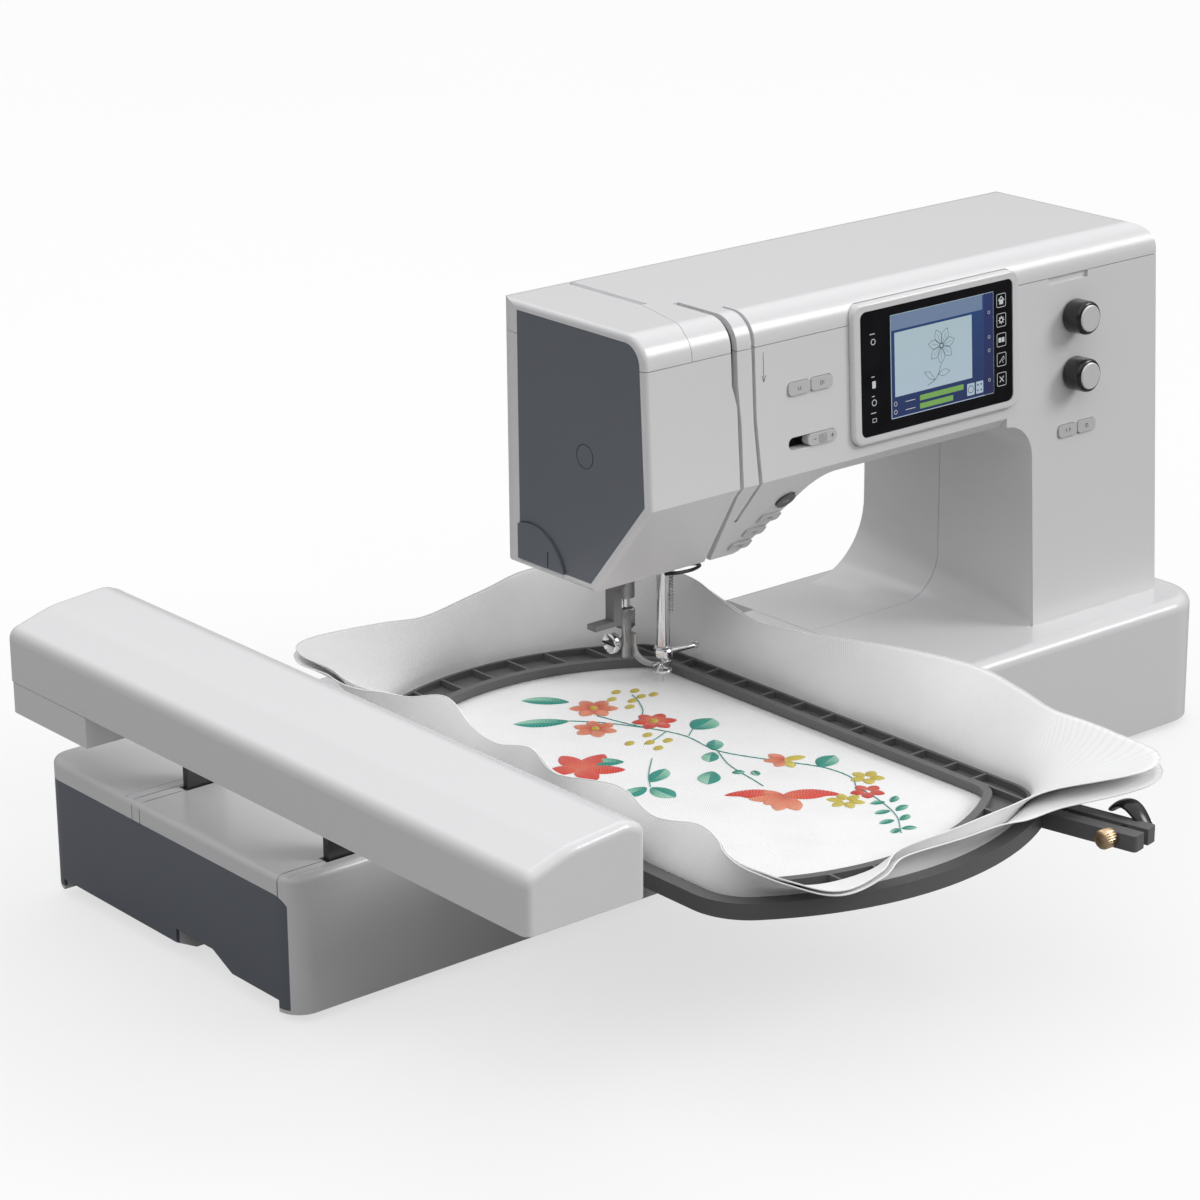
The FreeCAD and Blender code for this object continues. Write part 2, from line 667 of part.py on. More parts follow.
half_pair = s.pair_width / 2
half_right = s.right_pair_width / 2
KEYS = [
    # node, frame of its outer face, width, height, corner, proud
    ("securing_button", tilted(s.pair_left + half_pair / 2, s.pair_height, LEAN), half_pair - 0.7, s.key_tall, s.key_corner, 1),
    (
        "pattern_end_button",
        tilted(s.pair_left + 1.5 * half_pair, s.pair_height, LEAN),
        half_pair - 0.7,
        s.key_tall,
        s.key_corner,
        1,
    ),
    (
        "needle_button",
        tilted(s.right_pair_left + half_right / 2, s.right_pair_height, LEAN),
        half_right - 0.7,
        s.key_tall,
        s.key_corner,
        1,
    ),
    (
        "foot_lift_button",
        tilted(s.right_pair_left + 1.5 * half_right, s.right_pair_height, LEAN),
        half_right - 0.7,
        s.key_tall,
        s.key_corner,
        1,
    ),
    ("start_stop_button", on_chin(47.6, 0.37), 2 * s.start_radius, 2 * s.start_radius, s.start_radius - 0.05, 1),
    ("reverse_button", on_chin(44.3, 0.59), s.chin_key_width, s.key_tall, s.key_corner, 1),
    ("cutter_button", on_chin(40.2, 0.76), s.chin_key_width, s.key_tall, s.key_corner, 1),
    ("tie_off_button", on_chin(36.5, 0.93), s.chin_key_width, s.key_tall, s.key_corner, 1),
]
casing_pieces()

# The left end cover, and the thread cutter's quarter-round grip at its lower back corner
cover = end_outline(s.rim, -s.head_left, -s.head_left + s.end_cover)
grip_disc = Part.makeCylinder(30.0, 20, Vector(-s.head_left - 5, 36, s.head_under - 4), Vector(1, 0, 0))
grip_room = Part.makeCylinder(30.4, 20, Vector(-s.head_left - 5, 36, s.head_under - 4), Vector(1, 0, 0))
plug_groove = Part.makeCylinder(6.9, 0.6, Vector(-s.head_left, -9.6, 224), Vector(1, 0, 0))
plug_island = Part.makeCylinder(6.3, 0.6, Vector(-s.head_left, -9.6, 224), Vector(1, 0, 0))
feature("face_cover", one_solid(cover.cut(grip_room).cut(plug_groove.cut(plug_island))))
grip = end_outline(s.rim, -s.head_left - 1.6, -s.head_left + s.end_cover).common(grip_disc)
blade_slot = block(-s.head_left - 2, 20, s.head_under, -s.head_left + 1.2, 21, s.head_under + 14)
feature("thread_cutter", one_solid(grip.cut(blade_slot)))

# ---------------------------------------------------------------- base, feet, inner frame
pan = base_block(s.wall + s.loose, s.foot_height, s.foot_height + s.wall)
tongue = block(-s.head_left + 6, -30, s.foot_height, s.base_left + 10, 45, s.foot_height + s.wall)
feature("base_pan", one_solid(pan.fuse(tongue)))
foot_places = [("0", "0"), ("-40", "30"), ("base_left + 14", "-base_front + 16"), ("base_left + 14", "base_back - 16")]
foot_places += [("throat + pillar_width - 14", "-base_front + 30"), ("throat + pillar_width - 14", "base_back - 30")]
foot_places += [("-module_left + 20", "-module_front + 18"), ("-module_left + 20", "module_back - 18")]
foot_places += [("-module_inner - 16", "module_back - 18"), ("module_right - 20", "-module_front + 18")]
keep("rubber_feet", group(*[taper("8", "9", "foot_height", (x, y, "0")) for x, y in foot_places]))

frame_base = box(
    ("base_left + 12", "-26", "foot_height + wall"), ("throat + pillar_width - 20", "44", "foot_height + wall + 12")
)
frame_pillar = box(("throat + 14", "24", "foot_height + wall"), ("throat + 60", "44", "arm_under + 30"))
frame_arm = box(("-20", "24", "arm_under + 12"), ("throat + 60", "42", "arm_under + 62"))
frame_head = box(("-20", "24", "head_under + 10"), ("26", "42", "arm_under + 30"))
low_guide = box(("-34", "-8", "head_under + 16"), ("8", "25", "head_under + 26"))
high_guide = box(("-presser_x - 7", "-8", "shaft_height - 2"), ("8", "25", "shaft_height + 6"))
lever_ear = box(("2", "-29", "shaft_height - 12"), ("8", "-7", "shaft_height + 6"))
left_bearing = box(("30", "-4", "shaft_height - 12"), ("42", "25", "shaft_height + 12"))
right_bearing = box(("throat + 40", "-4", "shaft_height - 12"), ("throat + 52", "25", "shaft_height + 12"))
low_beam = box(("-50", "24", "low_shaft_height - 8"), ("base_left + 60", "40", "low_shaft_height + 8"))
low_link = box(("base_left + 14", "24", "foot_height + wall"), ("base_left + 40", "40", "low_shaft_height"))
low_left = box(("34", "-12", "low_shaft_height - 8"), ("44", "25", "low_shaft_height + 8"))
low_right = box(("throat + 20", "-12", "foot_height + wall + 8"), ("throat + 30", "25", "low_shaft_height + 9"))
lifter_ear = box(("0.4", "40", "head_under + wall + 0.5"), ("6", "58", "head_under + 14"))
lifter_pin = rod("2.4", "9", ("-8", "52", "head_under + 7"), "X")
bush = rod("presser_radius + 2.6", "40", ("-presser_x", "presser_y", "head_under - 22"))
frame_block = fuse(
    frame_base,
    frame_pillar,
    frame_arm,
    frame_head,
    low_guide,
    high_guide,
    lever_ear,
    left_bearing,
    right_bearing,
    low_beam,
    low_link,
    low_left,
    low_right,
    bush,
    lifter_ear,
    lifter_pin,
)
keep(
    "arm_frame",
    cut(
        frame_block,
        rod("needle_bar_radius + running", "140", ("0", "0", "head_under")),
        rod("presser_radius + running", "160", ("-presser_x", "presser_y", "head_under - 30")),
        rod("shaft_radius + running", "throat + 60", ("20", "shaft_y", "shaft_height"), "X"),
        rod("low_shaft_radius + running", "throat + 60", ("20", LOW_Y, "low_shaft_height"), "X"),
        rod("2.5 + running", "12", ("0", "-22", "shaft_height - 6"), "X"),
        rod("2 + running", "30", ("-28", "8", "head_under + 8")),
    ),
)

# ---------------------------------------------------------------- free arm and stitch plate
arm_shell = cut(
    box(("-head_left", "-arm_front", "free_arm_floor"), ("base_left - seam", "arm_back", "bed_height")),
    box(
        ("-head_left + wall", "-arm_front + wall", "free_arm_floor + wall"),
        ("base_left + 5", "arm_back - wall", "bed_height - wall"),
    ),
)
arm_cover = cut(
    arm_shell,
    box(("-plate_half", "-arm_front - 5", "bed_height - wall - 1"), ("plate_half", "plate_back", "bed_height + 5")),
)
keep("free_arm_cover", arm_cover)
plate_box = box(
    ("-plate_half + loose", "-plate_split", "bed_height - plate_thick"),
    ("plate_half - loose", "plate_back - loose", "bed_height"),
)
skirt = box(
    ("-plate_half + 6", "-plate_split + 3", "bed_height - wall - 6"), ("plate_half - 6", "plate_back - 6", "bed_height - 1")
)
skirt_room = box(
    ("-plate_half + 8", "-plate_split + 5", "bed_height - wall - 7"), ("plate_half - 8", "plate_back - 8", "bed_height - plate_thick")
)
needle_slot = box(("-4.5", "-1.4", "bed_height - 5"), ("4.5", "1.4", "bed_height + 1"))
keep("needle_plate", cut(fuse(plate_box, cut(skirt, skirt_room)), needle_slot))
cover_plate = box(
    ("-plate_half + loose", "-arm_front + 1", "bed_height - plate_thick"),
    ("plate_half - loose", "-plate_split - loose", "bed_height"),
)
thumb_dent = rod("6", "2", ("-plate_half + 14", "-arm_front + 12", "bed_height - 0.6"))
keep("bobbin_cover", cut(cover_plate, thumb_dent))

# ---------------------------------------------------------------- screen, knobs and keys
screen_at = tilted(s.screen_left + s.screen_width / 2, s.screen_low + s.screen_tall / 2, LEAN, s.screen_proud - s.screen_depth)
bezel = tablet(s.screen_width, s.screen_tall, s.screen_depth, 7.0)
bezel = bezel.makeFillet(1.6, [e for e in bezel.Edges if all(abs(v.Z - s.screen_depth) < 1e-6 for v in e.Vertexes)])
glass_width = s.screen_width - 2 * s.glass_margin
glass_tall = s.screen_tall - 1.6 * s.glass_margin
pocket = tablet(glass_width + 0.2, glass_tall + 0.2, 20, 4.1)
pocket.translate(Vector(0, 0, s.screen_depth - s.glass_thick - 0.6))
inside = tablet(s.screen_width - 14, s.screen_tall - 18, 20, 4.0)
inside.translate(Vector(0, 0, -10 + s.screen_depth - s.glass_thick - 2.6 - 10 + 8))
feature("screen_bezel", placed(bezel.cut([pocket, inside]), screen_at))
glass_lift = s.screen_proud - 0.6 - s.glass_thick
glass_at = tilted(s.screen_left + s.screen_width / 2, s.screen_low + s.screen_tall / 2, LEAN, glass_lift)
keep(
    "touch_screen",
    slab(
        "screen_glass",
        "screen_width - 2 * glass_margin",
        "screen_tall - 1.6 * glass_margin",
        "glass_thick",
        "4",
        glass_at,
    ),
)
board_at = tilted(s.screen_left + s.screen_width / 2, s.screen_low + s.screen_tall / 2, LEAN, -s.screen_depth - 2.2)
board = tablet(s.screen_width - 2, s.screen_tall - 18, 1.6, 2.0)
posts = []
for across in (-1, 1):
    for up in (-1, 1):
        at = Vector(across * (s.screen_width / 2 - 3.5), up * (s.screen_tall / 2 - 12), 1.4)
        posts.append(Part.makeCylinder(2.0, s.screen_proud + 2.2 - 1.4 - s.loose, at))
chips = [Part.makeBox(14, 14, 2.0, Vector(x, y, -1.8)) for x, y in ((-32, -8), (-6, 2), (20, -14))]
feature("circuit_board", placed(board.fuse(posts + chips), board_at))

for name, height in (("upper_knob", "knob_upper"), ("lower_knob", "knob_lower")):
    at = tilted(s.knob_x, getattr(s, height), LEAN)
    grip_part = Part.makeCone(s.knob_radius, s.knob_radius - 1.4, s.knob_tall - 1.5, Vector(0, 0, s.loose))
    edge_part = Part.makeCone(s.knob_radius - 1.4, s.knob_radius - 2.2, 1.2, Vector(0, 0, s.loose + s.knob_tall - 1.5))
    stem = Part.makeCylinder(KNOB_STEM, 14, Vector(0, 0, -12))
    collar = Part.makeCylinder(KNOB_STEM + 2.5, 2.0, Vector(0, 0, -12))
    seat = Part.makeCylinder(s.cap_radius, 2, Vector(0, 0, s.knob_tall - 0.8))
    knob = grip_part.fuse([edge_part, stem, collar]).cut(seat)
    feature(name, placed(one_solid(knob), at))
    cap_disc = Part.makeCylinder(s.cap_radius, s.cap_thick, Vector(0, 0, s.knob_tall - 0.8))
    rim_edges = [e for e in cap_disc.Edges if e.Vertexes[0].Z > s.knob_tall]
    feature(name + "_cap", placed(cap_disc.makeFillet(0.7, rim_edges), at))

for name, place_of, width, tall, corner, _ in KEYS:
    key_at = place_of.multiply(Placement(Vector(0, 0, s.key_proud - s.key_thick), Rotation()))
    body = slab(name + "_key", str(round(width, 3)), str(round(tall, 3)), "key_thick", str(round(corner, 3)), key_at)
    keep(name, body)

slider_end = s.slider_left + s.slider_length - s.slider_knob / 2
slider_at = tilted(slider_end - s.loose, s.slider_height, LEAN, s.key_proud - s.key_thick)
slider_corner = "key_tall / 2 - loose - 0.1"
slider = slab("slider_grip", "slider_knob", "key_tall - 2 * loose", "key_thick", slider_corner, slider_at)
keep("speed_slider", slider)

# ---------------------------------------------------------------- needle, presser and take-up
keep("needle_bar", rod("needle_bar_radius", "needle_bar_high - needle_bar_low", ("0", "0", "needle_bar_low")))
clamp_block = rod("clamp_radius", "9", ("0", "0", "clamp_low"))
clamp_front = box(("-clamp_radius", "-clamp_radius - 1", "clamp_low"), ("clamp_radius", "0", "clamp_low + 7"))
clamp_bolt = rod("1.6", "16", ("clamp_radius - 1", "0", "clamp_low + 4"), "X")
clamp_knob = rod("3.4", "4", ("clamp_radius + 14", "0", "clamp_low + 4"), "X")
clamp_bore = rod("needle_bar_radius + running", "3", ("0", "0", "needle_bar_low"))
shank_bore = rod("needle_shank + running", "20", ("0", "0", "clamp_low - 5"))
keep("needle_clamp", cut(fuse(clamp_block, clamp_front, clamp_bolt, clamp_knob), clamp_bore, shank_bore))
shank = rod("needle_shank", "needle_bar_low - clamp_low", ("0", "0", "clamp_low"))
shoulder = taper("0.45", "needle_shank", "2", ("0", "0", "clamp_low - 2"))
blade = rod("0.45", "clamp_low - 2 - needle_tip - 3", ("0", "0", "needle_tip + 3"))
point = taper("0.08", "0.45", "3", ("0", "0", "needle_tip"))
needle_eye = rod("0.22", "4", ("0", "-2", "needle_tip + 5"), "Y")
keep("needle", cut(fuse(shank, shoulder, blade, point), needle_eye))

keep("presser_bar", rod("presser_radius", "104", ("-presser_x", "presser_y", "foot_low + 24")))
foot_body = box(("-presser_x - 5", "presser_y - 5", "foot_low + 1.4"), ("-presser_x + 5", "presser_y + 5", "foot_low + 36"))
foot_arm = box(("-presser_x - 2", "1.5", "foot_low + 1.4"), ("-presser_x + 3", "presser_y", "foot_low + 4"))
foot_bridge = box(("-presser_x - 2", "1.5", "foot_low + 1.4"), ("10.6", "4.0", "foot_low + 4"))
foot_rail = box(("7.4", "1.5", "foot_low + 1.4"), ("10.6", "8", "foot_low + 4"))
foot_rod = rod("1.4", "60", ("9", "6", "foot_low + 1.4"))
foot_disc = rod("foot_ring", "foot_thick + 0.2", ("0", "0", "foot_low"))
foot_hole = rod("3.1", "12", ("0", "0", "foot_low - 2"))
clamp_way = rod("clamp_radius + 1.8", "20", ("0", "0", "foot_low + 4.0"))
bar_bore = rod("presser_radius + running", "40", ("-presser_x", "presser_y", "foot_low + 24"))
screw_bore = rod("1.9 + running", "14", ("-presser_x - 12", "presser_y", "foot_low + 17"), "X")
foot_solid = fuse(foot_body, foot_arm, foot_bridge, foot_rail, foot_rod, foot_disc)
keep("embroidery_foot", cut(foot_solid, foot_hole, clamp_way, bar_bore, screw_bore))
screw_stem = rod("1.9", "9", ("-presser_x - 7", "presser_y", "foot_low + 17"), "X")
screw_head = rod("6", "4.6", ("-presser_x - 11.6", "presser_y", "foot_low + 17"), "X")
screw_cut = box(
    ("-presser_x - 12", "presser_y - 7", "foot_low + 16.4"), ("-presser_x - 10.2", "presser_y + 7", "foot_low + 17.6")
)
keep("foot_screw", cut(fuse(screw_stem, screw_head), screw_cut))
spring_tube = rod("3", "28", ("9", "6", "foot_low + 30"))
keep("foot_spring", cut(spring_tube, rod("1.5", "30", ("9", "6", "foot_low + 29"))))

threader_rod = rod("2", "62", ("-28", "8", "head_under - 30"))
threader_tab = box(("-44", "4.5", "head_under - 32"), ("-25.5", "11.5", "head_under - 29"))
threader_stem = box(("-31", "4.5", "head_under - 32"), ("-25.5", "11.5", "head_under - 6"))
keep("needle_threader", fuse(threader_rod, threader_tab, threader_stem))

lever_hub = rod("5.5", "2.4", ("-1.8", "-22", "shaft_height - 6"), "X")
lever_pin = rod("2.5", "7.8", ("0", "-22", "shaft_height - 6"), "X")
lever_arm = box(("-1.8", "-50", "shaft_height - 8"), ("0.6", "-22", "shaft_height - 3"))
lever_tip = box(("-1.8", "-50", "shaft_height - 8"), ("0.6", "-45", "shaft_height + 16"))
lever_eye = rod("1.2", "6", ("-3", "-47.5", "shaft_height + 12"), "X")
keep("take_up_lever", cut(fuse(lever_hub, lever_pin, lever_arm, lever_tip), lever_eye))

lifter_hub = rod("5", "8", ("-8", "52", "head_under + 7"), "X")
lifter_arm = box(("-6", "51", "head_under - 14"), ("-2", "57", "head_under + 7"))
lifter_grip = box(("-10", "52", "head_under - 20"), ("2", "60", "head_under - 12"))
lifter_bore = rod("2.4 + running", "20", ("-14", "52", "head_under + 7"), "X")
keep("presser_lifter", cut(fuse(lifter_hub, lifter_arm, lifter_grip), lifter_bore))

# ---------------------------------------------------------------- drive
shaft = rod("shaft_radius", "throat + pillar_width - 20 + 2", ("20", "shaft_y", "shaft_height"), "X")
crank = rod("15.5", "6", ("14", "shaft_y", "shaft_height"), "X")
crank_pin = rod("3", "5", ("9.4", "shaft_y", "shaft_height + 12"), "X")
shaft_pulley = rod("13", "10", ("throat + 62", "shaft_y", "shaft_height"), "X")
pulley_flange = rod("15", "1.2", ("throat + 72", "shaft_y", "shaft_height"), "X")
keep("main_shaft", fuse(shaft, crank, crank_pin, shaft_pulley, pulley_flange))
wheel_start = "throat + pillar_width + 1"
wheel = rod("wheel_radius", "wheel_width", (wheel_start, "shaft_y", "shaft_height"), "X")
wheel_rim = taper("wheel_radius", "wheel_radius - 3", "2.5", (wheel_start + " + wheel_width", "shaft_y", "shaft_height"), "X")
wheel_bore = rod("shaft_radius + running", "2 + 1", (wheel_start + " - 1", "shaft_y", "shaft_height"), "X")
wheel_dish = rod("wheel_radius - 9", "8", (wheel_start + " + wheel_width - 1", "shaft_y", "shaft_height"), "X")
keep("handwheel", cut(fuse(wheel, wheel_rim), wheel_bore, wheel_dish))

low_shaft = rod("low_shaft_radius", "throat + 54", ("14", LOW_Y, "low_shaft_height"), "X")
drive_gear = rod("2 * hook_gear - 0.2", "8", ("-4", LOW_Y, "low_shaft_height"), "X")
gear_stub = rod("low_shaft_radius", "12", ("3", LOW_Y, "low_shaft_height"), "X")
low_pulley = rod("13", "10", ("throat + 62", LOW_Y, "low_shaft_height"), "X")
low_end = rod("low_shaft_radius", "16", ("throat + 60", LOW_Y, "low_shaft_height"), "X")
keep("lower_shaft", fuse(low_shaft, drive_gear, gear_stub, low_pulley, low_end))

hook_cup = rod("hook_radius", "hook_high - hook_low", ("0", "-hook_y", "hook_low"))
hook_room = rod("hook_radius - 2", "20", ("0", "-hook_y", "hook_low + 2"))
hook_stem = rod("3", "hook_low - free_arm_floor - wall - loose", ("0", "-hook_y", "free_arm_floor + wall + loose"))
hook_wheel = rod("hook_gear - 0.2", "7", ("0", "-hook_y", "low_shaft_height - 3.5"))
keep("hook", fuse(cut(hook_cup, hook_room), hook_stem, hook_wheel))
case_cup = rod("hook_radius - 2 - loose", "12.5", ("0", "-hook_y", "hook_low + 2 + loose"))
case_room = rod("hook_radius - 4", "20", ("0", "-hook_y", "hook_low + 4"))
case_lip = rod("hook_radius + 1.5", "1.2", ("0", "-hook_y", "hook_high + loose"))
case_neck = rod("hook_radius - 2 - loose", "3", ("0", "-hook_y", "hook_high - 1.5"))
lip_room = rod("hook_radius - 4", "20", ("0", "-hook_y", "hook_high - 8"))
case_arm = box(("-3", "-arm_front + wall + loose", "hook_high + loose"), ("3", "-hook_y - hook_radius + 3", "hook_high + 1.5"))
needle_way = rod("2.4", "30", ("0", "0", "hook_low"))
keep("bobbin_case", cut(fuse(case_cup, case_lip, case_neck, case_arm), case_room, lip_room, needle_way))
bobbin_low = rod("bobbin_radius", "1", ("0", "-hook_y", "hook_low + 4 + loose"))
bobbin_high = rod("bobbin_radius", "1", ("0", "-hook_y", "hook_low + 14.7"))
bobbin_core = rod("4", "10.6", ("0", "-hook_y", "hook_low + 4.5"))
bobbin_hole = rod("3", "20", ("0", "-hook_y", "hook_low + 2"))
keep("bobbin", cut(fuse(bobbin_low, bobbin_high, bobbin_core), bobbin_hole))


def belt(x0, width, ends, radius):
    """A flat belt round two pulleys: the outer hull of two discs less the inner one."""

    def hull(r):
        (y0, z0), (y1, z1) = ends
        run = math.hypot(y1 - y0, z1 - z0)
        side_y, side_z = -(z1 - z0) / run * r, (y1 - y0) / run * r
        flat = prism(
            [
                (y0 + side_y, z0 + side_z),
                (y1 + side_y, z1 + side_z),
                (y1 - side_y, z1 - side_z),
                (y0 - side_y, z0 - side_z),
            ],
            "X",
            x0,
            x0 + width,
        )
        discs = [Part.makeCylinder(r, width, Vector(x0, y, z), Vector(1, 0, 0)) for y, z in ends]
        return flat.fuse(discs)

    return one_solid(hull(radius + 1.4).cut(hull(radius)))


upright_belt = belt(
    s.throat + 63, 8.5, [(s.shaft_y, s.shaft_height), (3 * s.hook_gear - s.hook_y, s.low_shaft_height)], 13 + s.loose
)
feature("timing_belt", upright_belt)
motor_body = rod("20", "48", ("throat + 28", "-36", "bed_height + 50"), "X")
motor_nose = rod("6", "8", ("throat + 76", "-36", "bed_height + 50"), "X")
motor_foot = box(("throat + 32", "-36", "bed_height + 46"), ("throat + 56", "23.7", "bed_height + 54"))
keep("motor", fuse(motor_body, motor_nose, motor_foot))
inlet_body = box(
    ("throat + pillar_width + base_flare - 18", "14.3", "17.3"), ("throat + pillar_width + base_flare - 1", "41.7", "36.7")
)
inlet_face = box(
    ("throat + pillar_width + base_flare", "12", "15"), ("throat + pillar_width + base_flare + 1.6", "44", "39")
)
inlet_neck = box(
    ("throat + pillar_width + base_flare - 2", "14.3", "17.3"), ("throat + pillar_width + base_flare + 1", "41.7", "36.7")
)
socket_left = rod("4.4", "14", ("throat + pillar_width + base_flare - 9", "23.8", "27"), "X")
socket_right = rod("4.4", "14", ("throat + pillar_width + base_flare - 9", "32.2", "27"), "X")
pins = [rod("1.2", "9.5", ("throat + pillar_width + base_flare - 10", y, "27"), "X") for y in ("23.8", "32.2")]
keep("power_inlet", fuse(cut(fuse(inlet_body, inlet_face, inlet_neck), socket_left, socket_right), *pins))
pin_foot = box(("60", "24", "arm_under + 62 + loose"), ("96", "42", "arm_under + 66"))
pin_rod = rod("2.6", "60", ("86", "33", "arm_under + 70"), "X")
pin_post = box(("84", "28", "arm_under + 64"), ("90", "38", "arm_under + 74"))
keep("spool_pin", fuse(pin_foot, pin_rod, pin_post))

# ---------------------------------------------------------------- embroidery module


def module_outline(inset, low, high):
    """The module's L-shaped plan, pulled in by an inset, with rounded outer corners."""
    left, back, fore = -s.module_left + inset, s.module_back - inset, -s.module_front + inset
    inner, bar, right = -s.module_inner - inset, -s.bar_back - inset, s.module_right - inset
    points = [(left, fore), (right, fore), (right, bar), (inner, bar), (inner, back), (left, back)]
    shape = prism(points, "Z", low, high)
    corner = max(s.module_corner - inset, 2.0)
    for x, y in ((left, fore), (left, back), (inner, back)):
        shape = rounded(shape, corner, "Z", x=x, y=y)
    return shape


def heel(inset):
    """Everything above and before the module's rounded lower back edge, pulled in by an inset."""
    back, low = s.module_back - inset, s.module_low + inset
    shape = block(-FAR, -FAR, low, FAR, back, FAR)
    return rounded(shape, s.module_heel - inset, "X", y=back, z=low)


def grip_notch(margin):
    """The hand recess under the left side, by which the module is lifted off."""
    points = [(-31.6 - margin, 0), (-31.6 - margin, 10), (-15 - margin, 17.7 + margin)]
    points += [(18 + margin, 17.7 + margin), (18 + margin, 0)]
    return prism(points, "X", -s.module_left - 5, -s.module_left + 24 + margin)


outer = module_outline(0, s.module_low, s.module_top)
top_loop = [e for e in outer.Edges if all(abs(v.Z - s.module_top) < 1e-4 for v in e.Vertexes)]
outer = outer.makeFillet(3.5, top_loop).common(heel(0))
undercut = prism(
    [(-s.module_left, s.panel_low), (-s.module_left, s.module_low), (-s.module_left + 12, s.module_low)],
    "Y",
    -s.module_front + s.module_corner,
    s.module_back - s.module_corner,
)
room = module_outline(s.wall, s.module_low + s.wall, s.module_top - s.wall).common(heel(s.wall))
side_wall = block(-s.module_left, -FAR, 0, -s.module_left + s.wall + s.panel_thick, FAR, s.panel_high + 3)
room = room.cut([side_wall, grip_notch(s.wall), block(-s.module_left, -FAR, 0, -s.module_left + 16, FAR, s.panel_low + 3)])
panel_depth = -s.module_left + s.panel_thick
panel = block(-s.module_left - 1, -s.module_front + 5, s.panel_low - 4, panel_depth, s.module_back - 1, s.panel_high)
panel = rounded(panel, 9.0, "X", y=-s.module_front + 5, z=s.panel_high)
panel = rounded(panel, 5.0, "X", y=s.module_back - 1, z=s.panel_high)
raised_panel = panel.copy()
raised_panel.translate(Vector(0, 0, s.loose / 2))
panel_room = panel.fuse(raised_panel)
slot_run = -s.leg_right + s.arm_travel + s.loose + 2
slots = []
for middle in (s.slot_back, -s.slot_front):
    low, high = middle - s.slot_width / 2, middle + s.slot_width / 2
    slots.append(block(-s.leg_left - 2, low, s.module_top - s.wall - 1, slot_run, high, s.module_top + 1))
seams = []
for y in (60.6, 53.9):
    seams.append(block(-FAR, y, s.module_top - 0.8, -s.module_inner + 1, y + 0.5, s.module_top + 1))
seams.append(block(-FAR, -s.slot_front - s.slot_width / 2 - 2, s.module_top - 0.8, FAR, -s.slot_front - s.slot_width / 2 - 1.5, FAR))
casing = outer.cut(undercut).cut(room).cut([grip_notch(0), panel_room, *slots, *seams])
rail_seats = []
for y in (30.0, -46.0):
    for x in (-s.module_left + s.wall + s.panel_thick, -s.module_inner - s.wall - 4):
        pad = block(x, y - 8, s.rail_height - 8, x + 4.0, y + 8, s.module_top - s.wall)
        bore = Part.makeCylinder(s.rail_radius, 5, Vector(x - 0.5, y, s.rail_height), Vector(1, 0, 0))
        rail_seats.append(pad.cut(bore))
feature("module_casing", one_solid(casing.fuse(rail_seats)))
skin = outer.cut(undercut)
panel_plate = panel.common(skin).cut(grip_notch(0))
feature("module_side_panel", one_solid(panel_plate))

rail_start = "-module_left + wall + panel_thick"
rail_length = "module_left - wall - panel_thick - module_inner - wall"
rails = [rod("rail_radius", rail_length, (rail_start, y, "rail_height"), "X") for y in ("30", "-46")]
x_motor = box((rail_start + " + 6", "76", "panel_low + wall"), (rail_start + " + 48", "118", "panel_low + wall + 42"))
x_motor_shaft = rod("2.5", "14", (rail_start + " + 27", "66", "panel_low + wall + 21"), "Y")
x_bracket = box((rail_start + " + 2", "72", "panel_low + wall"), (rail_start + " + 6", "122", "panel_low + wall + 46"))
keep("x_drive", group(*rails, fuse(x_motor, x_motor_shaft, x_bracket)))


def beam_section(inset, low):
    """The arm's crowned section, with its left edge lower than its crown."""
    left, right = -s.beam_left + inset, -s.beam_right - inset
    points = [
        (left, low),
        (right, low),
        (right, s.beam_high - 4 - inset),
        (right - 10, s.beam_high - inset),
        (left + 26, s.beam_high - 3.0 - inset),
        (left, s.beam_edge - inset),
    ]
    shape = prism(points, "Y", -s.beam_front + inset, s.beam_back - inset)
    shape = rounded(shape, 7.0, "Y", x=left, z=s.beam_edge - inset)
    shape = rounded(shape, 6.0, "Y", x=right, z=s.beam_high - 4 - inset)
    shape = rounded(shape, 40.0, "Y", x=left + 26, z=s.beam_high - 3.0 - inset)
    return rounded(shape, 14.0, "Y", x=right - 10, z=s.beam_high - inset)


beam = beam_section(0, s.beam_low)
for corner_y in (-s.beam_front, s.beam_back):
    end_loop = [
        e
        for e in beam.Edges
        if all(abs(v.Y - corner_y) < 1e-4 for v in e.Vertexes) and not all(abs(v.Z - s.beam_low) < 1e-4 for v in e.Vertexes)
    ]
    beam = beam.makeFillet(4.5, end_loop)
beam = beam.cut(beam_section(s.wall, s.beam_low - 1))
carriage_low = -s.carriage_y - s.carriage_length / 2
carriage_high = carriage_low + s.carriage_length
gate = block(
    -s.beam_right - s.wall - 2, carriage_low - 1, s.beam_low + 4, 0, carriage_high + s.hoop_travel + 1, s.beam_low + 12
)
feature("arm_cover", one_solid(beam.cut(gate)))

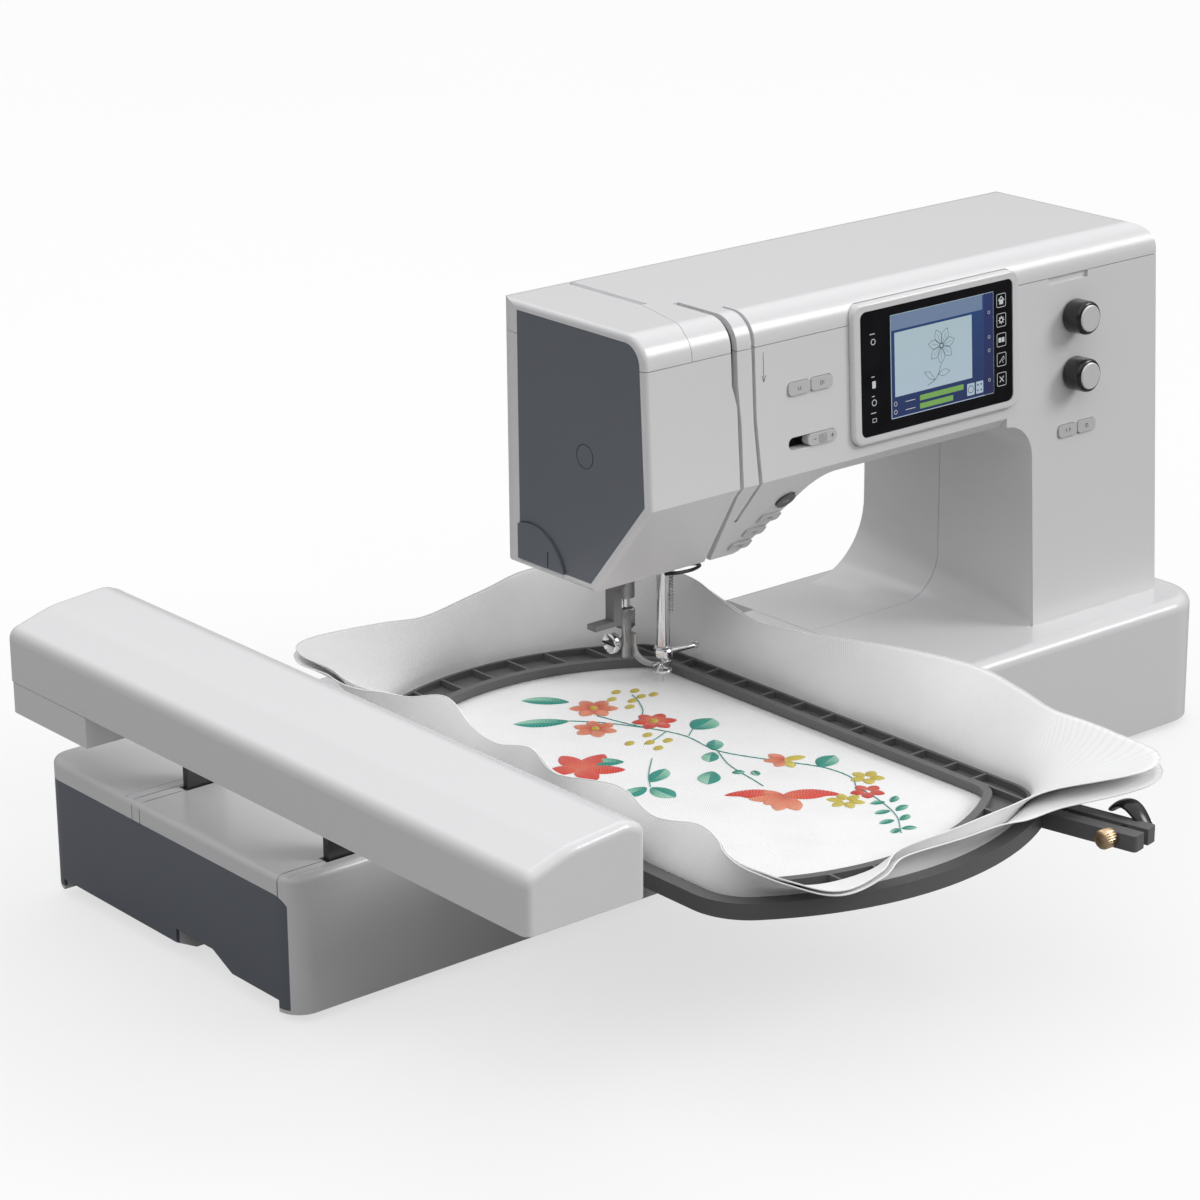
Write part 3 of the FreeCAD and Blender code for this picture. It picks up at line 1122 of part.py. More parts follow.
under = block(
    -s.beam_left + s.wall + s.loose,
    -s.beam_front + s.wall + s.loose,
    s.beam_low,
    -s.beam_right - s.wall - s.loose,
    s.beam_back - s.wall - s.loose,
    s.beam_low + 2.5,
)
strip = block(-s.beam_left, s.strip_front, s.strip_low, -s.leg_left + 2, s.beam_back, s.beam_low - s.seam)
strip = rounded(strip, 6.0, "Z", x=-s.beam_left, y=s.beam_back)
strip_join = block(-s.beam_left + 8, s.strip_front + 8, s.beam_low - 2, -s.leg_left - 2, s.beam_back - 8, s.beam_low + 1)
legs = []
for middle in (s.slot_back, -s.slot_front):
    low, high = middle - s.leg_thick / 2, middle + s.leg_thick / 2
    legs.append(block(-s.leg_left, low, s.rail_height - 8, -s.leg_right, high, s.beam_low + 1))
bridge = block(-s.leg_left, -s.slot_front, s.rail_height - 8, -s.leg_right, s.slot_back, s.rail_height + 8)
for y in (30.0, -46.0):
    bridge = bridge.cut(
        Part.makeCylinder(s.rail_radius + s.running, 60, Vector(-s.leg_left - 10, y, s.rail_height), Vector(1, 0, 0))
    )
rail_low = -s.beam_front + 12
y_rail = Part.makeCylinder(3.0, s.beam_back - 12 - rail_low, Vector(-s.beam_right - 20, rail_low, s.beam_low + 12), Vector(0, 1, 0))
rail_posts = [
    block(-s.beam_right - 24, y, s.beam_low + 2, -s.beam_right - 16, y + 6, s.beam_low + 16)
    for y in (rail_low - 3, s.beam_back - 15)
]
y_motor = block(-s.beam_left + 8, s.beam_back - 60, s.beam_low + 2, -s.beam_left + 30, s.beam_back - 30, s.beam_low + 22)
feature("arm_under_cover", one_solid(under.fuse([strip, strip_join, *legs, bridge, y_rail, *rail_posts, y_motor])))

# ---------------------------------------------------------------- hoop


def hoop_plate(half_width, half_length, end_radius, corner, low, high):
    """A plan with straight sides and bowed ends, about the hoop's centre."""
    reach = half_length - end_radius
    side = reach + math.sqrt(end_radius**2 - half_width**2)
    right_low, right_high = Vector(half_width, -side, low), Vector(half_width, side, low)
    left_low, left_high = Vector(-half_width, -side, low), Vector(-half_width, side, low)
    wire = Part.Wire(
        [
            Part.LineSegment(right_low, right_high).toShape(),
            Part.Arc(right_high, Vector(0, half_length, low), left_high).toShape(),
            Part.LineSegment(left_high, left_low).toShape(),
            Part.Arc(left_low, Vector(0, -half_length, low), right_low).toShape(),
        ]
    )
    shape = Part.Face(wire).extrude(Vector(0, 0, high - low))
    shape = shape.makeFillet(corner, [e for e in shape.Edges if straight(e, "Z")])
    shape.translate(Vector(-s.hoop_x, -s.hoop_y, 0))
    return shape


ring_half_width = s.field_half_width + s.ring_side
ring_half_length = s.field_half_length + s.ring_end
RING_END = s.field_end_radius + 25.0
cloth_gap = s.cloth + 2 * s.loose


def field_plan(grow, low, high):
    """The opening's plan, made larger all round by an amount."""
    return hoop_plate(
        s.field_half_width + grow, s.field_half_length + grow, s.field_end_radius + grow, 16.0 + grow, low, high
    )


def ring_plan(grow, low, high):
    """The inner ring's outer plan, made larger all round by an amount."""
    return hoop_plate(ring_half_width + grow, ring_half_length + grow, RING_END + grow, 26.0 + grow, low, high)


ring_low = s.hoop_low + s.cloth + 2 * s.loose
inner_ring = ring_plan(0, ring_low, s.ring_high).cut(field_plan(0, ring_low - 1, s.ring_high + 1))
channel = ring_plan(-s.ring_wall, ring_low + 1.4, s.ring_high + 1).cut(
    field_plan(s.ring_wall + 2.6, ring_low, s.ring_high + 2)
)
ribs = []
RIB_PITCH = 23.0
rib_count = int(ring_half_length / RIB_PITCH)
for step in range(-rib_count, rib_count + 1):
    y = -s.hoop_y + step * RIB_PITCH
    ribs.append(block(-FAR, y - 0.8, ring_low, FAR, y + 0.8, s.ring_high + 2))
end_ribs = []
for step in range(-4, 5):
    x = -s.hoop_x + step * RIB_PITCH
    end_ribs.append(block(x - 0.8, -FAR, ring_low, x + 0.8, FAR, s.ring_high + 2))
side_channel = channel.common(block(-FAR, -s.hoop_y - 112, 0, FAR, -s.hoop_y + 112, FAR)).cut(ribs)
end_channel = channel.cut(block(-FAR, -s.hoop_y - 113.6, 0, FAR, -s.hoop_y + 113.6, FAR)).cut(end_ribs)
feature("inner_hoop", one_solid(inner_ring.cut([side_channel, end_channel])))

outer_plan = ring_plan(cloth_gap + s.outer_ring, s.hoop_low, s.outer_high)
outer_hoop = outer_plan.cut(ring_plan(cloth_gap, s.hoop_low - 1, s.outer_high + 1))
EAR_FRAME = Placement(Vector(s.ear_x, -s.ear_y, 0), Rotation(Vector(0, 0, 1), s.ear_turn))
ears_wide = s.ear_gap + 2 * s.ear_thick
ears = Part.makeBox(
    ears_wide, s.ear_length + 12, s.outer_high - s.hoop_low, Vector(-ears_wide / 2, -s.ear_length, s.hoop_low)
)
ears = ears.makeFillet(2.0, [e for e in ears.Edges if straight(e, "Z") and e.CenterOfMass.y < 0])
gap_box = Part.makeBox(s.ear_gap, s.ear_length + 60, 60, Vector(-s.ear_gap / 2, -s.ear_length - 5, s.hoop_low - 5))
BOLT_Y = -s.ear_length + 13.0
BOLT_Z = (s.hoop_low + s.outer_high) / 2 + 1.0
ear_bore = Part.makeCylinder(s.bolt_radius + s.running, 60, Vector(-30, BOLT_Y, BOLT_Z), Vector(1, 0, 0))
inside_ring = ring_plan(cloth_gap, s.hoop_low - 1, FAR)
lug = block(
    -s.hoop_x - ring_half_width - 20,
    carriage_low + 6,
    s.hoop_low + 1,
    -s.hoop_x - ring_half_width,
    carriage_high - 6,
    s.hoop_low + 13,
)
outer_hoop = outer_hoop.fuse([placed(ears, EAR_FRAME), lug]).cut([placed(gap_box, EAR_FRAME), inside_ring])
feature("outer_hoop", one_solid(outer_hoop.cut(placed(ear_bore, EAR_FRAME))))

bolt_from = -ears_wide / 2 - 7.0
bolt = Part.makeCylinder(s.bolt_radius, ears_wide + 15, Vector(bolt_from, BOLT_Y, BOLT_Z), Vector(1, 0, 0))
nut = Part.makeCylinder(5.0, 5.5, Vector(bolt_from, BOLT_Y, BOLT_Z), Vector(1, 0, 0))
feature("clamp_screw", placed(bolt.fuse(nut), EAR_FRAME))
lever_from = ears_wide / 2 + s.loose
boss = Part.makeCylinder(5.4, 7, Vector(lever_from, BOLT_Y, BOLT_Z), Vector(1, 0, 0))
wing = Part.makeCylinder(15.5, 5, Vector(lever_from + 1, BOLT_Y + 3, BOLT_Z - 4), Vector(1, 0, 0))
wing = wing.common(block(-FAR, -FAR, BOLT_Z - 1, FAR, FAR, FAR))
wing = wing.cut(Part.makeCylinder(7.0, 9, Vector(lever_from, BOLT_Y + 9, BOLT_Z - 4), Vector(1, 0, 0)))
lever_bore = Part.makeCylinder(s.bolt_radius + s.running, 30, Vector(0, BOLT_Y, BOLT_Z), Vector(1, 0, 0))
feature("clamp_lever", placed(one_solid(boss.fuse(wing).cut(lever_bore)), EAR_FRAME))

lug_top = s.hoop_low + 13
carriage_right = -s.hoop_x - ring_half_width - cloth_gap - s.outer_ring - 1.5
plate = block(-s.beam_right + 1, carriage_low, lug_top + s.loose, carriage_right, carriage_high, lug_top + 14)
plate = plate.fuse(block(carriage_right - 9, carriage_low, lug_top + s.loose, carriage_right + 1, carriage_high, lug_top + 9))
neck = block(-s.beam_right + 1, carriage_low, lug_top + 6, -s.beam_right + 14, carriage_high, s.beam_low + 11)
tongue = block(-s.beam_right - 22, carriage_low, s.beam_low + 5, -s.beam_right + 2, carriage_high, s.beam_low + 11)
slider_block = block(-s.beam_right - 26, carriage_low, s.beam_low + 5, -s.beam_right - 14, carriage_high, s.beam_low + 19)
rail_way = Part.makeCylinder(
    3.0 + s.running, 2 * FAR, Vector(-s.beam_right - 20, -FAR, s.beam_low + 12), Vector(0, 1, 0)
)
feature("hoop_carriage", one_solid(plate.fuse([neck, tongue, slider_block]).cut(rail_way)))

# ---------------------------------------------------------------- cloth


def cloth_plan(left, right, fore, back, corner, z):
    """A rounded rectangle as one closed wire of lines and arcs."""
    face = Part.makePlane(right - left, back - fore, Vector(left, fore, z))
    solid = face.extrude(Vector(0, 0, 1))
    solid = solid.makeFillet(corner, [e for e in solid.Edges if straight(e, "Z")])
    return max((f for f in solid.Faces if abs(f.CenterOfMass.z - z) < 1e-6), key=lambda f: f.Area).OuterWire


def cloth_cone(shrink):
    """The flared space inside or outside the skirt, from the rings up to the cloth's edge."""
    side = ring_half_width + cloth_gap / 2 - shrink
    end = ring_half_length + cloth_gap / 2 - shrink
    low = cloth_plan(-s.hoop_x - side, -s.hoop_x + side, -s.hoop_y - end, -s.hoop_y + end, 60.0, s.outer_high + 1)
    high = cloth_plan(
        -s.cloth_top_left + shrink,
        s.cloth_top_right - shrink,
        -s.cloth_top_front + shrink,
        s.cloth_top_back - shrink,
        30.0,
        s.outer_high + s.cloth_rise,
    )
    return Part.makeLoft([low, high], True, True)


cloth_low = s.hoop_low + s.loose
field = ring_plan(s.loose + s.cloth, cloth_low, cloth_low + s.cloth)
band = ring_plan(s.loose + s.cloth, cloth_low, s.outer_high + 2.2).cut(ring_plan(s.loose, cloth_low - 1, s.outer_high + 3))
stitch_hole = Part.makeCylinder(1.2, 5, Vector(0, 0, cloth_low - 2))
skirt_shape = cloth_cone(0).cut(cloth_cone(s.cloth * 1.5))
feature("fabric", one_solid(field.fuse(band).fuse(skirt_shape).cut(stitch_hole)))

doc.recompute()
for item in doc.Objects:
    if "Invalid" in item.State or "Error" in item.State:
        raise RuntimeError(f"{item.Name} {item.Label} is {item.State}")
for item in finished:
    if item.Shape.isNull() or not item.Shape.isValid():
        raise RuntimeError(f"{item.Label} has no valid shape")
os.makedirs("parts", exist_ok=True)
for item in finished:
    item.Shape.exportStep(f"parts/{item.Label}.step")
print(len(finished), "sub-parts written")
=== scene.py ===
import json
import math

import bmesh
import bpy
import numpy as np
from bpy.props import FloatProperty, FloatVectorProperty, IntProperty, PointerProperty
from mathutils import Matrix, Vector


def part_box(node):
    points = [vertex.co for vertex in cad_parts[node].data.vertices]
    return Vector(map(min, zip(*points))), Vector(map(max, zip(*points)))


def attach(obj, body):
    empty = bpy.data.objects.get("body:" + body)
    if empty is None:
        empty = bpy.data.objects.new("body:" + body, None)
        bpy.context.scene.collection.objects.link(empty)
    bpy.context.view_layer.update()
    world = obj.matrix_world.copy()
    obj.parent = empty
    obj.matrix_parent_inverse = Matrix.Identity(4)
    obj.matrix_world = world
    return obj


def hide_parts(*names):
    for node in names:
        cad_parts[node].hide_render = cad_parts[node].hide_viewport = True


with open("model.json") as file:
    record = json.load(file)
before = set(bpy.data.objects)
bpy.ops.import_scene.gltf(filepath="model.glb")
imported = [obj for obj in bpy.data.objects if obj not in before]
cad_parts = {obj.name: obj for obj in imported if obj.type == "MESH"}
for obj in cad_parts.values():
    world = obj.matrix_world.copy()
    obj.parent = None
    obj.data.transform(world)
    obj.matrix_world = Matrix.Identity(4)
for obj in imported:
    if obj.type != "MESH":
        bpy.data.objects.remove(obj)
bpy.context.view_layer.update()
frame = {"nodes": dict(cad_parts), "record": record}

bl_info = {
    "name": "Embroidery Machine",
    "version": (1, 0, 0),
    "blender": (4, 5, 0),
    "location": "3D View > Sidebar > Embroidery",
    "description": "Builds an embroidery machine's finishes, cloth and fine parts round its frame",
    "category": "Object",
}

MM = 0.001
NODES = frame["nodes"]
BODY_OF = {node: body for body, members in frame["record"]["behaviour"]["bodies"].items() for node in members}
SLOT_OF = {entry["node"]: entry["material_slot"] for entry in frame["record"]["subparts"]}


# ---------------------------------------------------------------- places read from the frame
def low(node):
    """The lowest corner of a frame piece's box, in metres."""
    return np.array(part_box(node)[0])


def high(node):
    """The highest corner of a frame piece's box, in metres."""
    return np.array(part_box(node)[1])


def middle(node):
    """The middle of a frame piece's box: half the sum of its two corners."""
    return (low(node) + high(node)) / 2


LEAN = math.atan(0.05)  # the front face leans back by this angle
FACE_UP = np.array([0.0, math.sin(LEAN), math.cos(LEAN)])
RIGHTWARDS = np.array([1.0, 0.0, 0.0])


# ---------------------------------------------------------------- meshes from arrays
class Form:
    """Collects grids of points and makes one mesh object of them."""

    def __init__(self):
        self.points, self.faces, self.uvs, self.count = [], [], [], 0

    def grid(self, points, wrap_u=False, wrap_v=False, uv=None, flip=False):
        """Adds a (rows, columns, 3) grid: each cell is a quad; a wrap joins its last line to its first."""
        rows, columns = points.shape[:2]
        if uv is None:
            u, v = np.meshgrid(np.linspace(0, 1, rows), np.linspace(0, 1, columns), indexing="ij")
            uv = np.stack([u, v], axis=-1)
        index = np.arange(rows * columns).reshape(rows, columns) + self.count
        corner = index if not wrap_u else np.vstack([index, index[:1]])
        corner = corner if not wrap_v else np.hstack([corner, corner[:, :1]])
        quads = np.stack(
            [corner[:-1, :-1], corner[1:, :-1], corner[1:, 1:], corner[:-1, 1:]], axis=-1
        ).reshape(-1, 4)
        self.faces.append(quads[:, ::-1] if flip else quads)
        self.points.append(points.reshape(-1, 3))
        self.uvs.append(uv.reshape(-1, 2))
        self.count += rows * columns
        return self

    def make(self, name, body, finish, slot=None, replaces=(), closed=False, smooth=True, weld=0.0):
        """Puts the arrays into a mesh, with a UV map, its finish and the body that it rides on."""
        points = np.vstack(self.points)
        faces = np.vstack(self.faces)
        uvs = np.vstack(self.uvs)
        mesh = bpy.data.meshes.new(name)
        mesh.vertices.add(len(points))
        mesh.vertices.foreach_set("co", points.astype(np.float32).ravel())
        mesh.loops.add(faces.size)
        mesh.loops.foreach_set("vertex_index", faces.astype(np.int32).ravel())
        mesh.polygons.add(len(faces))
        mesh.polygons.foreach_set("loop_start", np.arange(0, faces.size, 4, dtype=np.int32))
        mesh.update(calc_edges=True)
        layer = mesh.uv_layers.new(name="UVMap")
        layer.data.foreach_set("uv", uvs[faces.ravel()].astype(np.float32).ravel())
        if closed or weld:
            tidy_mesh(mesh, weld or 1e-7, closed)
        mesh.polygons.foreach_set("use_smooth", np.full(len(mesh.polygons), smooth))
        mesh.validate()
        item = bpy.data.objects.new(name, mesh)
        bpy.context.scene.collection.objects.link(item)
        mesh.materials.append(finish)
        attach(item, body)
        if replaces:
            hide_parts(*replaces)
        return item


def tidy_mesh(mesh, distance, closed):
    """Welds doubled points, drops faces without area and, on a closed skin, points the faces outwards."""
    work = bmesh.new()
    work.from_mesh(mesh)
    bmesh.ops.remove_doubles(work, verts=work.verts, dist=distance)
    bmesh.ops.dissolve_degenerate(work, edges=work.edges, dist=distance)
    if closed:
        bmesh.ops.recalc_face_normals(work, faces=work.faces)
    work.to_mesh(mesh)
    work.free()


def sharpen(item, degrees=35.0):
    """Keeps crisp edges crisp on a smooth-shaded piece."""
    mesh = item.data
    work = bmesh.new()
    work.from_mesh(mesh)
    limit = math.radians(degrees)
    for edge in work.edges:
        edge.smooth = not (len(edge.link_faces) == 2 and edge.calc_face_angle(0.0) > limit)
    work.to_mesh(mesh)
    work.free()
    return item


def frame_of(direction):
    """Two unit vectors across a direction."""
    along = np.asarray(direction, float) / np.linalg.norm(direction)
    helper = np.array([0.0, 0.0, 1.0]) if abs(along[2]) < 0.9 else np.array([1.0, 0.0, 0.0])
    side = np.cross(helper, along)
    side /= np.linalg.norm(side)
    return side, np.cross(along, side), along


def turned(profile, at, axis, steps=48, wobble=None):
    """A body of revolution: each (radius, height) of the profile goes round the axis.

    Wobble is added to the radius, as a function of the angle and times the profile's third column.
    """
    side, up, along = frame_of(axis)
    profile = np.asarray(profile, float)
    angle = np.linspace(0, 2 * math.pi, steps, endpoint=False)
    radius = profile[:, :1] * np.ones((1, steps))
    if wobble is not None:
        radius = radius + wobble(angle)[None, :] * (profile[:, 2:3] if profile.shape[1] > 2 else 1.0)
    ring = radius[..., None] * (np.cos(angle)[None, :, None] * side + np.sin(angle)[None, :, None] * up)
    return np.asarray(at, float) + ring + profile[:, 1][:, None, None] * along


def tube(path, radius, sides=12, flat=1.0, taper=None):
    """A round bar along a path: a circle, squashed by flat, stands across the tangent at each point."""
    path = np.asarray(path, float)
    tangent = np.gradient(path, axis=0)
    tangent /= np.linalg.norm(tangent, axis=1)[:, None]
    side = frame_of(tangent[0])[0]
    sides_of, ups_of = [], []
    for direction in tangent:
        side = side - direction * side.dot(direction)
        side = side / np.linalg.norm(side)
        sides_of.append(side)
        ups_of.append(np.cross(direction, side))
    angle = np.linspace(0, 2 * math.pi, sides, endpoint=False)
    scale = np.ones(len(path)) if taper is None else np.asarray(taper)
    ring = np.cos(angle)[None, :, None] * np.array(sides_of)[:, None, :]
    ring = ring + flat * np.sin(angle)[None, :, None] * np.array(ups_of)[:, None, :]
    body = path[:, None, :] + radius * scale[:, None, None] * ring
    start = np.repeat(path[:1], sides, axis=0)[None]
    end = np.repeat(path[-1:], sides, axis=0)[None]
    return np.concatenate([start, body, end])


def curve_through(points, count, closed=False):
    """A Catmull-Rom curve: cubic pieces whose slope at each point is half the step between its neighbours."""
    points = np.asarray(points, float)
    if closed:
        padded = np.vstack([points[-1:], points, points[:2]])
        spans = len(points)
    else:
        padded = np.vstack([2 * points[0] - points[1], points, 2 * points[-1] - points[-2]])
        spans = len(points) - 1
    place = np.linspace(0, spans, count, endpoint=not closed)
    span = np.minimum(place.astype(int), spans - 1)
    t = (place - span)[:, None]
    a, b, c, d = (padded[span + k] for k in range(4))
    return 0.5 * (2 * b + (c - a) * t + (2 * a - 5 * b + 4 * c - d) * t**2 + (3 * b - a - 3 * c + d) * t**3)


def rounded_outline(width, tall, corner, arc_steps=6):
    """A rectangle with quarter-circle corners, as a closed ring of (x, y)."""
    ring = []
    for quarter, (cx, cy) in enumerate(((1, 1), (-1, 1), (-1, -1), (1, -1))):
        angle = np.linspace(0, math.pi / 2, arc_steps) + quarter * math.pi / 2
        ring.append(
            np.c_[
                cx * (width / 2 - corner) + corner * np.cos(angle),
                cy * (tall / 2 - corner) + corner * np.sin(angle),
            ]
        )
    return np.vstack(ring)


def lifted(outline, at, across, up, heights, insets):
    """A flat outline raised in steps along its normal, each pulled in to the middle and closed by poles."""
    outline = np.asarray(outline, float)
    across, up = np.asarray(across, float), np.asarray(up, float)
    normal = np.cross(across, up)
    centre = outline.mean(axis=0)
    reach = np.maximum(np.linalg.norm(outline - centre, axis=1)[:, None], 1e-9)
    rows = []
    for height, inset in zip(heights, insets):
        flat = outline - (outline - centre) / reach * inset
        rows.append(np.asarray(at) + flat[:, :1] * across + flat[:, 1:] * up + height * normal)
    middle_low = np.asarray(at) + centre[0] * across + centre[1] * up + heights[0] * normal
    middle_high = np.asarray(at) + centre[0] * across + centre[1] * up + heights[-1] * normal
    count = len(outline)
    return np.stack([np.tile(middle_low, (count, 1)), *rows, np.tile(middle_high, (count, 1))])


# ---------------------------------------------------------------- finishes
class Finish:
    """A material and short ways to add and join its nodes."""

    def __init__(self, name, **sockets):
        self.material = bpy.data.materials.new(name)
        self.material.use_nodes = True
        self.tree = self.material.node_tree
        self.shader = next(n for n in self.tree.nodes if n.type == "BSDF_PRINCIPLED")
        for socket, value in sockets.items():
            self.shader.inputs[socket.replace("_", " ").title().replace("Ior", "IOR")].default_value = value

    def add(self, kind, inputs=None, **settings):
        item = self.tree.nodes.new("ShaderNode" + kind)
        for key, value in settings.items():
            setattr(item, key, value)
        for key, value in (inputs or {}).items():
            if isinstance(value, bpy.types.NodeSocket):
                self.tree.links.new(value, item.inputs[key])
            else:
                item.inputs[key].default_value = value
        return item

    def join(self, output, socket):
        self.tree.links.new(output, self.shader.inputs[socket])

    def place(self, kind="Object"):
        return self.add("TexCoord").outputs[kind]

    def ramp(self, value, stops):
        item = self.add("ValToRGB", {"Fac": value})
        elements = item.color_ramp.elements
        while len(elements) < len(stops):
            elements.new(0.5)
        for element, (position, colour) in zip(elements, stops):
            element.position = position
            element.color = (*colour, 1.0)
        return item.outputs["Color"]

    def bump(self, height, strength, distance):
        item = self.add("Bump", {"Height": height, "Strength": strength, "Distance": distance})
        self.join(item.outputs["Normal"], "Normal")
        return item


def moulded(name, colour, roughness, grain=1500.0, relief=0.03, coat=0.0, spread=0.01):
    """Moulded plastic: a fine even grain in the surface, faint cloudiness in its colour and gloss."""
    make = Finish(name, roughness=roughness, coat_weight=coat, coat_roughness=0.12, ior=1.5)
    where = make.place()
    cloud = make.add("TexNoise", {"Vector": where, "Scale": 9.0, "Detail": 3.0}).outputs["Fac"]
    darker = tuple(c * (1 - spread) for c in colour)
    lighter = tuple(min(1.0, c * (1 + spread)) for c in colour)
    make.join(make.ramp(cloud, [(0.0, darker), (1.0, lighter)]), "Base Color")
    wear = make.add("MapRange", {"Value": cloud, "To Min": roughness * 0.97, "To Max": roughness * 1.03})
    make.join(wear.outputs["Result"], "Roughness")
    grains = make.add("TexNoise", {"Vector": where, "Scale": grain, "Detail": 2.0}).outputs["Fac"]
    make.bump(grains, 0.35, relief * MM)
    return make.material


def metal(name, colour, roughness, brushed=0.0, direction=(1.0, 1.0, 1.0), metallic=1.0):
    """Metal: a reflective surface with fine scratches drawn out along one direction."""
    make = Finish(name, metallic=metallic, roughness=roughness)
    where = make.place()
    drawn = make.add("Mapping", {"Vector": where, "Scale": direction}).outputs["Vector"]
    scratch = make.add("TexNoise", {"Vector": drawn, "Scale": 900.0, "Detail": 4.0}).outputs["Fac"]
    tint = make.ramp(scratch, [(0.3, tuple(c * 0.9 for c in colour)), (0.7, colour)])
    make.join(tint, "Base Color")
    spread = make.add("MapRange", {"Value": scratch, "To Min": roughness * 0.7, "To Max": roughness * 1.4})
    make.join(spread.outputs["Result"], "Roughness")
    make.bump(scratch, 0.2 + brushed, 0.01 * MM)
    return make.material


def twill_cloth():
    """White twill: fine diagonal ribs over a soft weave, with a light sheen on the fibres."""
    make = Finish("white_twill", roughness=0.85, sheen_weight=0.25, sheen_roughness=0.5)
    flat = make.place("UV")
    turned_uv = make.add("Mapping", {"Vector": flat, "Rotation": (0.0, 0.0, math.radians(32.0))}).outputs[
        "Vector"
    ]
    rib = make.add(
        "TexWave", {
            "Vector": turned_uv, "Scale": 285.0, "Distortion": 0.6, "Detail": 2.0, "Detail Scale": 3.0
        }
    ).outputs["Fac"]
    thread = make.add("TexNoise", {"Vector": flat, "Scale": 2600.0, "Detail": 2.0}).outputs["Fac"]
    soft = make.add("TexNoise", {"Vector": flat, "Scale": 30.0, "Detail": 3.0}).outputs["Fac"]
    tone = make.add("Mix", {"Factor": 0.5, "A": rib, "B": thread}, data_type="FLOAT").outputs["Result"]
    tone = make.add("Math", {0: tone, 1: soft}, operation="ADD").outputs["Value"]
    make.join(make.ramp(tone, [(0.45, (0.80, 0.80, 0.80)), (1.35, (0.93, 0.93, 0.93))]), "Base Color")
    make.bump(make.add("Math", {0: rib, 1: thread}, operation="ADD").outputs["Value"], 0.35, 0.18 * MM)
    return make.material


def satin_thread(name, base, tip, middle_tone=None):
    """Embroidery thread: fine strands along the stitches, from a colour at a petal's root to another, with
    painted shade between the strands and a painted highlight on their crests.
    """
    make = Finish(name, roughness=0.42, sheen_weight=0.3, sheen_roughness=0.4)
    flat = make.place("UV")
    split = make.add("SeparateXYZ", {"Vector": flat})
    jitter = make.add("TexNoise", {"Vector": flat, "Scale": 14.0, "Detail": 2.0}).outputs["Fac"]
    shift = make.add("MapRange", {"Value": jitter, "To Min": -0.22, "To Max": 0.22}).outputs["Result"]
    place = make.add("Math", {0: split.outputs["X"], 1: shift}, operation="ADD").outputs["Value"]
    stops = [(0.08, base), (0.95, tip)] if middle_tone is None else [
        (0.08, base), (0.5, middle_tone), (0.95, tip)
    ]
    colour = make.ramp(place, stops)
    strand = make.add(
        "TexWave", {"Vector": flat, "Scale": 5.5, "Distortion": 1.5, "Detail": 1.0}, bands_direction="X"
    ).outputs["Fac"]
    # painted shade and highlight: the strand waves that drive the bump also darken the colour between strands
    # and lighten it above the thread's colour on their crests
    painted_strand_shade = make.add("MapRange", {"Value": strand, "To Min": 0.68, "To Max": 1.10}).outputs["Result"]
    mixed = make.add("Mix", {"Factor": 1.0, "A": colour}, data_type="RGBA", blend_type="MULTIPLY")
    painted_strand_grey = make.add("CombineColor", {"Red": painted_strand_shade, "Green": painted_strand_shade, "Blue": painted_strand_shade}).outputs["Color"]
    make.tree.links.new(painted_strand_grey, mixed.inputs["B"])
    make.join(mixed.outputs["Result"], "Base Color")
    make.bump(strand, 0.8, 0.18 * MM)
    return make.material


def lit_panel(name, colour, strength, second=None):
    """A patch of the display: it shines through the glass, and a faint grid of dots shows close up."""
    make = Finish(name, roughness=0.12, coat_weight=0.6, coat_roughness=0.03)
    where = make.place()
    dots = make.add("TexVoronoi", {"Vector": where, "Scale": 3500.0}).outputs["Distance"]
    stops = [(0.0, colour), (1.0, second or tuple(c * 0.92 for c in colour))]
    if second is not None:
        fall = make.add("SeparateXYZ", {"Vector": where}).outputs["Z"]
        share = make.add(
            "MapRange", {"Value": fall, "From Min": float(low("touch_screen")[2]), "From Max": float(
                high("touch_screen")[2]
            )}
        ).outputs["Result"]
    else:
        share = dots
    tint = make.ramp(share, stops)
    make.join(tint, "Base Color")
    make.join(tint, "Emission Color")
    make.shader.inputs["Emission Strength"].default_value = strength
    make.bump(dots, 0.05, 0.01 * MM)
    return make.material


def black_glass():
    """The screen's front: black glass with a clear hard gloss and the faintest smears."""
    make = Finish("black_glass", roughness=0.06, specular_ior_level=0.1, ior=1.5)
    smear = make.add(
        "TexNoise", {"Vector": make.place(), "Scale": 40.0, "Detail": 5.0, "Distortion": 1.0}
    ).outputs["Fac"]
    make.join(make.ramp(smear, [(0.3, (0.004, 0.004, 0.005)), (0.8, (0.009, 0.009, 0.011))]), "Base Color")
    spread = make.add("MapRange", {"Value": smear, "To Min": 0.04, "To Max": 0.12})
    make.join(spread.outputs["Result"], "Roughness")
    return make.material


def clear_plastic():
    """Clear plastic: rough only a little, with a faint ripple in colour and height."""
    make = Finish("clear_plastic", roughness=0.08, transmission_weight=0.85, ior=1.49)
    ripple = make.add("TexNoise", {"Vector": make.place(), "Scale": 120.0, "Detail": 2.0}).outputs["Fac"]
    make.join(make.ramp(ripple, [(0.3, (0.88, 0.9, 0.92)), (0.7, (0.96, 0.97, 0.98))]), "Base Color")
    make.bump(ripple, 0.05, 0.02 * MM)
    return make.material


def circuit_green():
    """A coated board: green lacquer over copper tracks."""
    make = Finish("circuit_green", roughness=0.35, coat_weight=0.4)
    tracks = make.add("TexBrick", {"Vector": make.place(), "Scale": 160.0, "Mortar Size": 0.03}).outputs[
        "Fac"
    ]
    make.join(make.ramp(tracks, [(0.0, (0.02, 0.16, 0.07)), (1.0, (0.05, 0.3, 0.14))]), "Base Color")
    make.bump(tracks, 0.3, 0.05 * MM)
    return make.material


